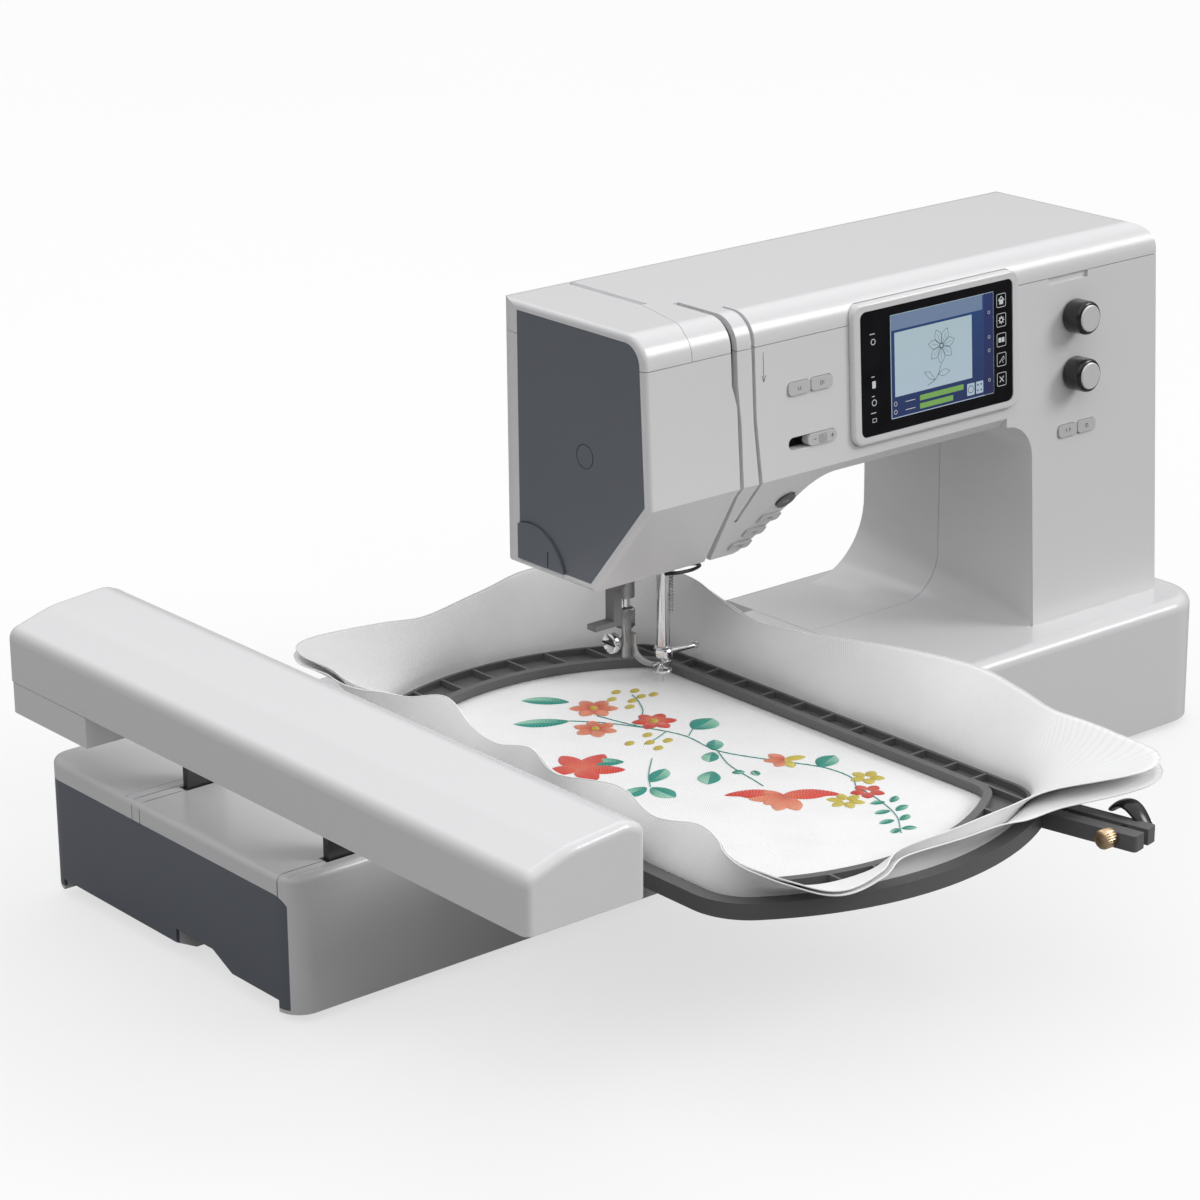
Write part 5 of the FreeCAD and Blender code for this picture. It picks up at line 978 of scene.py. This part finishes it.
def build_display():
    """What the screen shows: a canvas with a flower in outline, bars, and a column of plain icons."""
    glass = Face.front_of("touch_screen")

    def layer(name, finish):
        return Form(), name, finish

    def finish_layer(item):
        form, name, finish = item
        form.make(name, "machine", finish, "screen_glass", closed=True, smooth=False)

    deep = layer(
        "display_backdrop", lit_panel("display_blue", (0.004, 0.014, 0.085), 0.35, (0.006, 0.045, 0.16))
    )
    glass.plate(deep[0], -35.5, -28.0, 43.6, 29.4, 0.3, 0.01, 0.03)
    finish_layer(deep)
    strip = layer(
        "display_strip", lit_panel("display_indigo", (0.004, 0.006, 0.06), 0.3, (0.006, 0.022, 0.13))
    )
    glass.plate(strip[0], 36.2, -28.0, 43.6, 29.4, 0.3, 0.05, 0.03)
    finish_layer(strip)
    head = layer("display_header", lit_panel("display_slate", (0.12, 0.17, 0.28), 0.35, (0.14, 0.20, 0.32)))
    glass.plate(head[0], -35.5, 20.8, 34.8, 29.4, 0.3, 0.05, 0.03)
    finish_layer(head)
    canvas = layer("display_canvas", lit_panel("display_pale", (0.38, 0.47, 0.56), 0.38, (0.36, 0.47, 0.50)))
    glass.plate(canvas[0], -32.6, -16.3, 26.5, 19.4, 0.2, 0.05, 0.03)
    glass.plate(canvas[0], 22.4, -26.0, 28.2, -19.2, 0.5, 0.05, 0.03)
    glass.plate(canvas[0], 29.4, -26.0, 35.0, -19.2, 0.5, 0.05, 0.03)
    edge = frame_line(39.6 - 0.2, 28.6, 0.3, (4.0, 0.7))
    glass.line(canvas[0], edge, 0.45, 0.05, 0.03)
    finish_layer(canvas)
    bars = layer("display_bars", lit_panel("display_green", (0.17, 0.36, 0.08), 0.35))
    glass.plate(bars[0], -14.0, -21.6, 19.6, -18.6, 0.2, 0.06, 0.03)
    glass.plate(bars[0], -14.0, -26.2, 11.5, -23.2, 0.2, 0.06, 0.03)
    finish_layer(bars)

    ink = layer("display_drawing", moulded("display_ink", (0.008, 0.012, 0.03), 0.3))
    for step in range(7):
        angle = 2 * math.pi * step / 7 + 0.2
        share = np.linspace(0, 1, 26)
        for side in (1, -1):
            reach = 1.2 + 9.0 * share
            bulge = side * 2.6 * np.sin(math.pi * share)
            x = reach * math.cos(angle) - bulge * math.sin(angle)
            y = reach * math.sin(angle) + bulge * math.cos(angle)
            glass.line(ink[0], np.c_[x + 3.0, y + 6.2], 0.22, 0.09, 0.02)
        vein = np.c_[3.0 + (2 + 5.5 * share) * math.cos(angle), 6.2 + (2 + 5.5 * share) * math.sin(angle)]
        glass.line(ink[0], vein, 0.14, 0.09, 0.02)
    glass.line(ink[0], ring_line(1.3, centre=(3.0, 6.2)), 0.5, 0.09, 0.02)
    glass.line(
        ink[0], curve_through([(2.2, -4.4), (0.8, -8.5), (-2.5, -12.2), (-8.0, -14.2)], 40), 0.3, 0.09, 0.02
    )
    for root, tip in (((0.2, -9.6), (9.5, -9.0)), ((-2.0, -12.0), (-10.5, -6.4))):
        middle_way = (np.add(root, tip)) / 2
        for side in (2.0, -1.6):
            glass.line(ink[0], curve_through([root, middle_way + (0, side), tip], 24), 0.2, 0.09, 0.02)
    glass.line(ink[0], ring_line(2.0, centre=(25.3, -22.6)), 0.35, 0.09, 0.02)
    for x, y in ((30.8, -21.0), (33.4, -21.0), (30.8, -24.2), (33.4, -24.2)):
        glass.plate(ink[0], x - 0.5, y - 0.5, x + 0.5, y + 0.5, 0.2, 0.09, 0.02)
    finish_layer(ink)

    rims = layer("display_icons", lit_panel("display_white", (0.50, 0.53, 0.53), 0.4))
    for row in ICON_ROWS:
        glass.line(rims[0], frame_line(3.5, 3.7, 0.9, (ICON_COLUMN, row)), 0.32, 0.02, 0.03)
    house, wheel, book, thread, cross = ICON_ROWS
    glass.line(rims[0], dense(
        [(ICON_COLUMN - 2.2, house), (ICON_COLUMN, house + 2.2), (ICON_COLUMN + 2.2, house)]
    ), 0.6)
    glass.plate(rims[0], ICON_COLUMN - 1.5, house - 2.2, ICON_COLUMN + 1.5, house + 0.5, 0.1)
    glass.line(rims[0], ring_line(1.3, centre=(ICON_COLUMN, wheel)), 0.7)
    for spoke in range(8):
        angle = spoke * math.pi / 4
        way = np.array([math.cos(angle), math.sin(angle)])
        glass.line(rims[0], np.array([1.5 * way, 2.3 * way]) + (ICON_COLUMN, wheel), 0.5)
    for side in (-1, 1):
        glass.plate(rims[
            0
        ], ICON_COLUMN + side * 1.25 - 1.0, book - 1.4, ICON_COLUMN + side * 1.25 + 1.0, book + 1.3, 0.3)
        arm_of_cross = dense(
            [(ICON_COLUMN - 1.6, cross - 1.6 * side), (ICON_COLUMN + 1.6, cross + 1.6 * side)]
        )
        glass.line(rims[0], arm_of_cross, 0.5)
    glass.line(rims[0], dense([(ICON_COLUMN - 1.8, thread - 1.8), (ICON_COLUMN + 1.6, thread + 1.6)]), 0.4)
    loop = curve_through([(1.6, 1.6), (2.2, 0.2), (0.6, -0.9), (1.4, -2.2)], 24) + (ICON_COLUMN, thread)
    glass.line(rims[0], loop, 0.25)
    for row in (18.3, 4.4, -3.2, -20.0):
        glass.line(rims[0], ring_line(0.8, centre=(39.9, row)), 0.25, 0.09, 0.02)
    for row, half in ((21.6, 1.9), (-2.0, 1.2), (-12.8, 1.0), (-22.0, 1.9)):
        glass.line(rims[0], dense([(-49 - half, row), (-49 + half, row)]), 0.45)
    glass.line(rims[0], ring_line(1.5, centre=(-48.4, 17.2)), 0.45)
    glass.plate(rims[0], -49.6, -8.4, -47.0, -4.4, 0.4)
    glass.line(rims[0], ring_line(1.6, centre=(-48.3, -16.4)), 0.4)
    glass.line(rims[0], frame_line(1.4, 1.0, 0.2, (-48.3, -26.2)), 0.3)
    for row in (-20.1, -24.7):
        glass.line(rims[0], ring_line(1.1, centre=(-32.4, row)), 0.3, 0.06)
        glass.line(rims[0], dense([(-25.0, row), (-17.5, row)]), 0.35, 0.06)
    finish_layer(rims)


# ---------------------------------------------------------------- printed symbols
CHIN_UP = np.array([0.0, -0.642, 0.767])
SYMBOLS = {
    "securing_button": (
        FACE_UP, [[(-1.6, 1.2), (-1.6, -1.2), (-0.4, -1.2)], [(0.6, 1.2), (0.6, -1.2), (1.8, -1.2)]]
    ),
    "pattern_end_button": (FACE_UP, [
        [(-1.8, 1.2), (-1.8, -1.2), (0.2, -1.2), (0.2, 1.2), (-1.8, 1.2)], [(1.6, 1.4), (1.6, -1.4)]
    ]),
    "needle_button": (FACE_UP, [[(-1.8, -1.4), (-1.8, 1.4)], [(-2.6, 0.6), (-1.8, 1.4), (-1.0, 0.6)], [
        (1.2, -1.5), (1.2, 1.5), (2.4, 1.5), (2.4, -0.4)
    ]]),
    "foot_lift_button": (
        FACE_UP, [[(-1.8, 0.2), (0, 1.6), (1.8, 0.2)], [(-2.0, -1.2), (2.0, -1.2)], [(0, 1.4), (0, -1.2)]]
    ),
    "start_stop_button": (
        CHIN_UP, [[(-1.6, -1.4), (-1.6, 1.4)], [(0.2, -1.4), (0.2, 1.4), (2.2, 0.0), (0.2, -1.4)]]
    ),
    "reverse_button": (
        CHIN_UP, [[(2.0, -1.4), (2.0, 0.6), (-2.0, 0.6)], [(-0.9, 1.6), (-2.0, 0.6), (-0.9, -0.4)]]
    ),
    "cutter_button": (CHIN_UP, [[(-2.0, 1.2), (2.0, -1.0)], [(-2.0, -1.2), (2.0, 1.0)]]),
    "tie_off_button": (CHIN_UP, [[(-2.4, -0.8), (-0.8, -0.8), (0.8, 0.8), (2.4, 0.8)], [
        (-2.4, 0.8), (-0.8, 0.8), (0.8, -0.8), (2.4, -0.8)
    ]]),
}


KEY_PROUD = 1.1  # mm that a key stands out
THREAD_ARROW_X = 0.0192  # m from the needle
THREAD_ARROW_TOP = 0.276  # m above the table


def build_symbols():
    """Plain signs on the keys, the arrow beside the take-up slot and the slider's ribs."""
    for node, (up, strokes) in SYMBOLS.items():
        face = Face.front_of(node, up)
        form = Form()
        scale = 0.75 if up is FACE_UP else 0.9
        finish = FINISHES["pale_keys"] if node == "start_stop_button" else FINISHES["symbol"]
        for stroke in strokes:
            face.line(form, dense(np.array(stroke) * scale), 0.32, 0.01, 0.05)
        form.make(node + "_sign", BODY_OF[node], finish, SLOT_OF[node], closed=True, smooth=False)
    slider = Face.front_of("speed_slider")
    form = Form()
    for step in range(6):
        x = (step - 2.5) * 0.95 + 0.4
        slider.plate(form, x - 0.26, -2.3, x + 0.26, 2.3, 0.2, -0.05, 0.55)
    form.make(
        "speed_slider_ribs", "speed_slider", FINISHES["pale_keys"], "pale_keys", closed=True, smooth=False
    )
    signs = Form()
    slider.line(signs, dense([(6.0, 0), (8.4, 0)]), 0.4)
    slider.line(signs, dense([(7.2, -1.2), (7.2, 1.2)]), 0.4)
    slider.line(signs, dense([(-6.6, 0), (-4.6, 0)]), 0.4)
    signs.make(
        "speed_slider_signs", "speed_slider", FINISHES["symbol"], "pale_keys", closed=True, smooth=False
    )
    front = Face.front_of("needle_button")
    front.centre = front.centre - front.out * KEY_PROUD * MM
    form = Form()
    arrow_x = (THREAD_ARROW_X - front.centre[0]) / MM
    top = (THREAD_ARROW_TOP - front.centre[2]) / MM
    front.line(form, dense([(arrow_x, top), (arrow_x, top - 16)]), 0.35, 0.0, 0.06)
    front.line(form, dense(
        [(arrow_x - 1.4, top - 12.5), (arrow_x, top - 16), (arrow_x + 1.4, top - 12.5)]
    ), 0.35, 0.0, 0.06)
    form.make("threading_arrow", "machine", FINISHES["symbol"], "white_casing", closed=True, smooth=False)


# ---------------------------------------------------------------- turned and bent small parts
KNOB_REACH = 12.7  # mm from the front of a knob to its back


def build_knobs():
    """Round knobs: a straight flank, a rolled front lip and a dished front round the cap, turned."""
    for node in ("upper_knob", "lower_knob"):
        face = Face.front_of(node)
        radius = (high(node)[0] - low(node)[0]) / 2 / MM
        tall = KNOB_REACH
        lip = np.linspace(0, math.pi / 2, 9)
        profile = [(0.0, -tall), (radius * 0.92, -tall), (radius * 0.97, -tall + 0.6), (radius, -tall + 1.4)]
        profile += [(radius - 0.15, -3.2)]
        profile += [(radius - 2.2 + 2.05 * math.cos(a), -2.2 + 2.2 * math.sin(a)) for a in lip]
        profile += [(radius - 2.7, -0.15), (radius - 2.9, -0.9), (0.0, -0.9)]
        body = turned(np.array(profile) * MM, face.centre, face.out, 72)
        item = Form().grid(body, wrap_v=True).make(
            node + "_grip", BODY_OF[node], FINISHES["knob_black"], "black_plastic", [node], closed=True
        )
        sharpen(item, 50)


def build_handwheel():
    """The handwheel: a turned rim whose radius dips in even flutes, and a dished outer side."""
    node = "handwheel"
    centre = middle(node)
    radius = (high(node)[2] - low(node)[2]) / 2
    start, end = low(node)[0] - centre[0], high(node)[0] - centre[0]
    round_off = np.linspace(0, math.pi / 2, 6)
    profile = [(0.0, start, 0.0), (radius * 0.8, start, 0.0), (radius * 0.96, start + 0.0015, 0.4)]
    profile += [(
        radius - 0.0026 + 0.0026 * math.cos(a), end - 0.0026 + 0.0026 * math.sin(a), math.cos(a)
    ) for a in round_off]
    profile += [
        (radius - 0.0065, end - 0.0002, 0.0), (radius - 0.0080, end - 0.0026, 0.0), (0.010, end - 0.0034, 0.0)
    ]
    profile += [(0.0085, end - 0.0012, 0.0), (0.0, end - 0.0008, 0.0)]
    rim = turned(
        profile, centre, (1, 0, 0), 288, lambda angle: -0.0005 * (0.5 + 0.5 * np.cos(48 * angle)) ** 3
    )
    item = Form().grid(rim, wrap_v=True)
    item = item.make(
        "handwheel_rim", BODY_OF[node], FINISHES["white_casing"], "white_casing", [node], closed=True
    )
    sharpen(item, 50)


def block(form, lower, upper, bevel=0.4):
    """A box with its four upright edges cut off and its top and bottom drawn in by the bevel."""
    lower, upper = np.asarray(lower, float) * MM, np.asarray(upper, float) * MM
    size = upper - lower
    bevel = min(bevel * MM, size.min() * 0.45)
    outline = rounded_outline(size[0], size[1], bevel * 1.2, 3)
    heights = (0, bevel, size[2] - bevel, size[2])
    at = np.array([(lower[0] + upper[0]) / 2, (lower[1] + upper[1]) / 2, lower[2]])
    form.grid(lifted(outline, at, (1, 0, 0), (0, 1, 0), heights, (bevel, 0, 0, bevel)), wrap_v=True)


def ring_bar(form, centre, radius, wire, normal=(0, 0, 1), steps=40):
    """A closed ring of round wire: a circle carried round a circle."""
    side, up, _ = frame_of(normal)
    angle = np.linspace(0, 2 * math.pi, steps, endpoint=False)[:, None, None]
    turn = np.linspace(0, 2 * math.pi, 12, endpoint=False)[None, :, None]
    out = np.cos(angle) * side + np.sin(angle) * up
    along = np.asarray(normal, float) / np.linalg.norm(normal)
    reach = (radius + wire * np.cos(turn)) * out + wire * np.sin(turn) * along
    form.grid(np.asarray(centre, float) * MM + reach * MM, wrap_u=True, wrap_v=True)


HEAD_UNDER = 147.0  # mm, just below the head


def build_needle_group():
    """Spring, clamp, foot and its screw: what holds the needle and the cloth."""
    spring_low, spring_high = low("foot_spring"), high("foot_spring")
    axis = (spring_low + spring_high) / 2
    angle = np.linspace(0, 2 * math.pi * 15, 15 * 18)
    climb = np.linspace(spring_low[2] + 0.0004, spring_high[2] - 0.0004, len(angle))
    coil = np.c_[axis[0] + 0.0026 * np.cos(angle), axis[1] + 0.0026 * np.sin(angle), climb]
    spring = Form().grid(tube(coil, 0.00046, 8), wrap_v=True)
    spring.make("foot_spring_coil", "presser_bar", FINISHES["shank_grey"], "bright_steel", [
        "foot_spring"
    ], closed=True)

    clamp_low, clamp_high = low("needle_clamp") / MM, high("needle_clamp") / MM
    mid_z = (clamp_low[2] + clamp_high[2]) / 2
    form = Form()
    profile = [(0, -3.2), (3.0, -3.2), (4.2, -2.2), (4.9, -0.8), (4.9, 2.4), (4.3, 3.9), (0, 3.9)]
    form.grid(turned(np.array(profile) * MM, np.array([0, 0, mid_z]) * MM, (0, 0, 1), 8), wrap_v=True)
    block(form, (-2.6, -5.9, mid_z - 2.6), (2.6, -2.0, mid_z + 2.6), 0.9)
    arm = curve_through([
        (3.5, -1.5, mid_z + 0.2), (9, -2.6, mid_z + 0.4), (15, -3.8, mid_z + 0.5), (19.0, -4.6, mid_z + 0.6)
    ], 24)
    form.grid(tube(arm * MM, 0.0015, 14, taper=np.linspace(1.3, 0.75, 24)), wrap_v=True)
    ring_bar(form, (21.0, -3.4, mid_z + 0.6), 2.0, 0.62, (0.15, -0.5, 1))
    item = form.make(
        "needle_clamp_block", "needle_bar", FINISHES["chrome"], "bright_steel", ["needle_clamp"], closed=True
    )
    sharpen(item, 28)

    foot_low = low("embroidery_foot") / MM
    presser = middle("presser_bar") / MM
    form = Form()
    base = foot_low[2]
    block(form, (presser[0] - 4.6, presser[1] - 4.6, base + 24), (
        presser[0] + 4.6, presser[1] + 4.6, base + 36
    ), 1.2)
    block(form, (presser[0] - 4.6, presser[1] - 4.8, base + 8), (
        presser[0] + 1.2, presser[1] - 2.2, base + 36
    ), 0.6)
    sweep = np.array([(-10.5, 13.2, 22), (-10.2, 12.9, 14), (-8.8, 11.0, 8.5), (-5.0, 7.5, 4.4), (
        1.0, 4.2, 2.9
    ), (7.6, 3.4, 2.6)])
    form.grid(tube((curve_through(sweep, 40) + [0, 0, base]) * MM, 0.0034, 14, flat=0.30), wrap_v=True)
    form.make("foot_shank", "presser_bar", FINISHES["shank_grey"], "bright_steel", closed=True)
    form = Form()
    ring_bar(form, (0, 0, base + 1.0), 4.4, 0.95)
    neck = curve_through([(3.2, 3.2, base + 1.4), (5.6, 4.4, base + 2.6), (8.2, 5.4, base + 4.2), (
        9.0, 6.0, base + 9.0
    ), (9.0, 6.0, base + 22.0)], 40)
    form.grid(tube(neck * MM, 0.00115, 12), wrap_v=True)
    rod = np.array([(9.0, 6.0, base + 10), (9.0, 6.0, base + 34), (9.0, 6.0, base + 61)])
    form.grid(tube(rod * MM, 0.00125, 12), wrap_v=True)
    hook = [(-4.4, -0.6, 1.2), (-5.6, -2.2, 2.8), (-4.6, -3.0, 5.4), (-3.4, -1.4, 6.4), (-3.2, 1.6, 5.0), (
        -4.0, 3.4, 3.4
    )]
    form.grid(tube((curve_through(hook, 40) + [0, 0, base]) * MM, 0.0006, 10), wrap_v=True)
    form.make(
        "foot_ring", "presser_bar", FINISHES["chrome"], "bright_steel", ["embroidery_foot"], closed=True
    )

    screw = middle("foot_screw")
    radius = (high("foot_screw")[2] - low("foot_screw")[2]) / 2
    left = low("foot_screw")[0] - screw[0]
    profile = [(0.0, left + 0.0013), (radius * 0.35, left + 0.0010), (radius * 0.82, left), (
        radius * 0.97, left + 0.0006
    )]
    profile += [(radius, left + 0.0016), (radius, left + 0.0036), (radius * 0.9, left + 0.0046), (
        0.0020, left + 0.0048
    )]
    profile += [(0.0019, left + 0.0126), (0.0, left + 0.0130)]
    form = Form().grid(turned(profile, screw, (1, 0, 0), 48), wrap_v=True)
    item = form.make(
        "foot_screw_head", "presser_bar", FINISHES["chrome"], "bright_steel", ["foot_screw"], closed=True
    )
    sharpen(item, 40)
    # painted shade: a thin black bar on the head's face stands in for the shade inside the screw's slot; the
    # turned head has no slot cut in it
    form = Form()
    centre = screw / MM
    block(form, (centre[0] + left / MM - 0.1, centre[1] - 5.4, centre[2] - 0.6), (
        centre[0] + left / MM + 1.3, centre[1] + 5.4, centre[2] + 0.6
    ), 0.1)
    form.make(
        "foot_screw_slot_painted_shade", "presser_bar", FINISHES["black_plastic"], "bright_steel", closed=True, smooth=False
    )

    form = Form()
    needle_x = middle("needle_bar")[0] / MM
    bush = [(3.7, 0), (6.4, 0), (6.9, 0.7), (6.9, 7.0), (3.7, 7.0)]
    form.grid(turned(
        np.array(bush) * MM, np.array([-28, 8, HEAD_UNDER - 6.5]) * MM, (0, 0, 1), 40
    ), wrap_u=True, wrap_v=True)
    form.make("threader_bush", "machine", FINISHES["plastic_grey"], "hoop_grey", closed=True)
    form = Form()
    guide = [(needle_x - 5, -8, HEAD_UNDER - 1.2), (4, -9.5, HEAD_UNDER - 2.0), (
        14, -9.0, HEAD_UNDER - 2.6
    ), (21.5, -6.0, HEAD_UNDER - 2.8)]
    guide += [(22.5, -2.5, HEAD_UNDER - 2.8), (17, -1.0, HEAD_UNDER - 2.4), (9, -1.6, HEAD_UNDER - 1.8), (
        6.5, -2.5, HEAD_UNDER - 0.6
    )]
    form.grid(tube(curve_through(guide, 90) * MM, 0.0010, 10), wrap_v=True)
    form.make("thread_guide", "machine", FINISHES["knob_black"], "black_plastic", closed=True)


SEAM_PLACES = (54.0, 47.0, -74.0)  # mm along Y
SEAM_END = -262.0  # mm along X, the inner end of a seam
EDGE_RADIUS = 4.0  # mm, the rounding of the casing's edge


def build_module_seams():
    """Hairline joints across the module's top, from the arm's slots to the left edge and down its band."""
    left, top = low("module_casing")[0] / MM, high("module_casing")[2] / MM
    form = Form()
    bend = np.linspace(0, math.pi / 2, 10)
    for y in SEAM_PLACES:
        run = [(x, y, top + 0.02) for x in np.linspace(SEAM_END, left + EDGE_RADIUS, 12)]
        run += [(
            left + EDGE_RADIUS * (1 - math.sin(a)), y, top - EDGE_RADIUS * (1 - math.cos(a))
        ) for a in bend[1:]]
        run += [(left, y, top - EDGE_RADIUS - drop) for drop in (3.0, 8.0)]
        form.grid(tube(np.array(run) * MM, 0.00016, 6), wrap_v=True)
    form.make("module_seams", "machine", FINISHES["symbol"], "white_casing", closed=True)


def build_clamp():
    """The hoop's clamp: a knurled brass nut with its washer face, and a black wing lever."""
    node = "clamp_screw"
    lower, upper = low(node), high(node)
    centre = (lower + upper) / 2
    reach = (upper[2] - lower[2]) / 2
    start, end = lower[0] - centre[0], upper[0] - centre[0]
    nut = [(0.0, start, 0), (reach * 0.55, start, 0), (reach * 0.9, start + 0.0007, 0.4), (
        reach, start + 0.0014, 1
    )]
    nut += [
        (reach, start + 0.0070, 1), (reach * 0.92, start + 0.0078, 0.3), (reach * 0.62, start + 0.0082, 0)
    ]
    nut += [(reach * 0.62, start + 0.0105, 0), (0.0018, start + 0.0108, 0), (0.0018, end, 0), (0.0, end, 0)]
    body = turned(nut, centre, (1, 0, 0), 144, lambda angle: -0.0004 * (0.5 + 0.5 * np.cos(24 * angle)))
    item = Form().grid(body, wrap_v=True).make(
        "clamp_nut", node, FINISHES["brass"], "brass", [node], closed=True
    )
    sharpen(item, 40)
    node = "clamp_lever"
    lower, upper = low(node) / MM, high(node) / MM
    mid_x = (lower[0] + upper[0]) / 2
    wide = (upper[0] - lower[0]) / 2
    share = np.linspace(0, 1, 30)
    spine = np.c_[np.full(30, mid_x), lower[1] + 3.2 + (upper[1] - lower[1] - 6.0) * share, lower[
        2
    ] + 3.4 + 10.2 * np.sin(math.pi * share * 0.82) ** 1.2]
    swell = 0.62 + 0.38 * np.sin(math.pi * share)
    form = Form().grid(tube(spine * MM, wide * MM, 20, flat=0.42, taper=swell), wrap_v=True)
    form.make("clamp_wing", node, FINISHES["knob_black"], "black_plastic", [node], closed=True)


# ---------------------------------------------------------------- carried-over frame pieces
# the under cover takes the finish with painted slot shade on its legs
OWN_FINISH = {"arm_under_cover": "arm_underside", "needle_threader": "plastic_grey"}


def finish_frame_pieces():
    """Every frame piece takes its slot's finish, or its own where it differs."""
    for node, item in NODES.items():
        item.data.materials.clear()
        item.data.materials.append(FINISHES[OWN_FINISH.get(node, SLOT_OF[node])])


# ---------------------------------------------------------------- operators, panel and main
class EMB_OT_stage(bpy.types.Operator):
    """Floor, lights and camera"""

    bl_idname = "emb.stage"
    bl_label = "Stage"

    def execute(self, context):
        build_stage(context.scene.emb_stage)
        return {"FINISHED"}


class EMB_OT_finishes(bpy.types.Operator):
    """Finishes for every slot, given to the frame's pieces"""

    bl_idname = "emb.finishes"
    bl_label = "Finishes"

    def execute(self, context):
        make_finishes(context.scene.emb_machine)
        finish_frame_pieces()
        return {"FINISHED"}


class EMB_OT_cloth(bpy.types.Operator):
    """The cloth in the hoop and its stabiliser"""

    bl_idname = "emb.cloth"
    bl_label = "Cloth"

    def execute(self, context):
        build_cloth(context.scene.emb_cloth)
        return {"FINISHED"}


class EMB_OT_embroidery(bpy.types.Operator):
    """The stitched flowers"""

    bl_idname = "emb.embroidery"
    bl_label = "Embroidery"

    def execute(self, context):
        build_embroidery()
        return {"FINISHED"}


class EMB_OT_display(bpy.types.Operator):
    """What the screen shows"""

    bl_idname = "emb.display"
    bl_label = "Display"

    def execute(self, context):
        build_display()
        return {"FINISHED"}


class EMB_OT_symbols(bpy.types.Operator):
    """Signs on keys and casing"""

    bl_idname = "emb.symbols"
    bl_label = "Signs"

    def execute(self, context):
        build_symbols()
        return {"FINISHED"}


class EMB_OT_turned_parts(bpy.types.Operator):
    """Knobs and handwheel"""

    bl_idname = "emb.turned_parts"
    bl_label = "Knobs and handwheel"

    def execute(self, context):
        build_knobs()
        build_handwheel()
        build_module_seams()
        return {"FINISHED"}


class EMB_OT_needle_group(bpy.types.Operator):
    """Foot, clamp, spring and guides at the needle"""

    bl_idname = "emb.needle_group"
    bl_label = "Needle group"

    def execute(self, context):
        build_needle_group()
        return {"FINISHED"}


class EMB_OT_clamp(bpy.types.Operator):
    """The hoop's clamp nut and lever"""

    bl_idname = "emb.clamp"
    bl_label = "Hoop clamp"

    def execute(self, context):
        build_clamp()
        return {"FINISHED"}


OPERATORS = [
    EMB_OT_stage, EMB_OT_finishes, EMB_OT_cloth, EMB_OT_embroidery, EMB_OT_display, EMB_OT_symbols,
    EMB_OT_turned_parts, EMB_OT_needle_group, EMB_OT_clamp,
]
SETTINGS = {"emb_machine": MachineLook, "emb_cloth": ClothLook, "emb_stage": StageLook}


class EMB_PT_panel(bpy.types.Panel):
    """Lists the build steps and their settings"""

    bl_idname = "EMB_PT_panel"
    bl_label = "Embroidery Machine"
    bl_space_type = "VIEW_3D"
    bl_region_type = "UI"
    bl_category = "Embroidery"

    def draw(self, context):
        for group, kind in SETTINGS.items():
            settings = getattr(context.scene, group)
            for prop in kind.__annotations__:
                self.layout.prop(settings, prop)
        for operator in OPERATORS:
            self.layout.operator(operator.bl_idname)


def register():
    """Registers the settings, operators and panel."""
    for kind in (*SETTINGS.values(), *OPERATORS, EMB_PT_panel):
        bpy.utils.register_class(kind)
    for group, kind in SETTINGS.items():
        setattr(bpy.types.Scene, group, PointerProperty(type=kind))


def unregister():
    """Takes back what register did, in the opposite order."""
    for group in SETTINGS:
        delattr(bpy.types.Scene, group)
    for kind in (EMB_PT_panel, *reversed(OPERATORS), *reversed(SETTINGS.values())):
        bpy.utils.unregister_class(kind)


def main():
    """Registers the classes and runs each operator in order."""
    register()
    for operator in OPERATORS:
        family, name = operator.bl_idname.split(".")
        getattr(getattr(bpy.ops, family), name)()


if __name__ == "__main__":
    main()
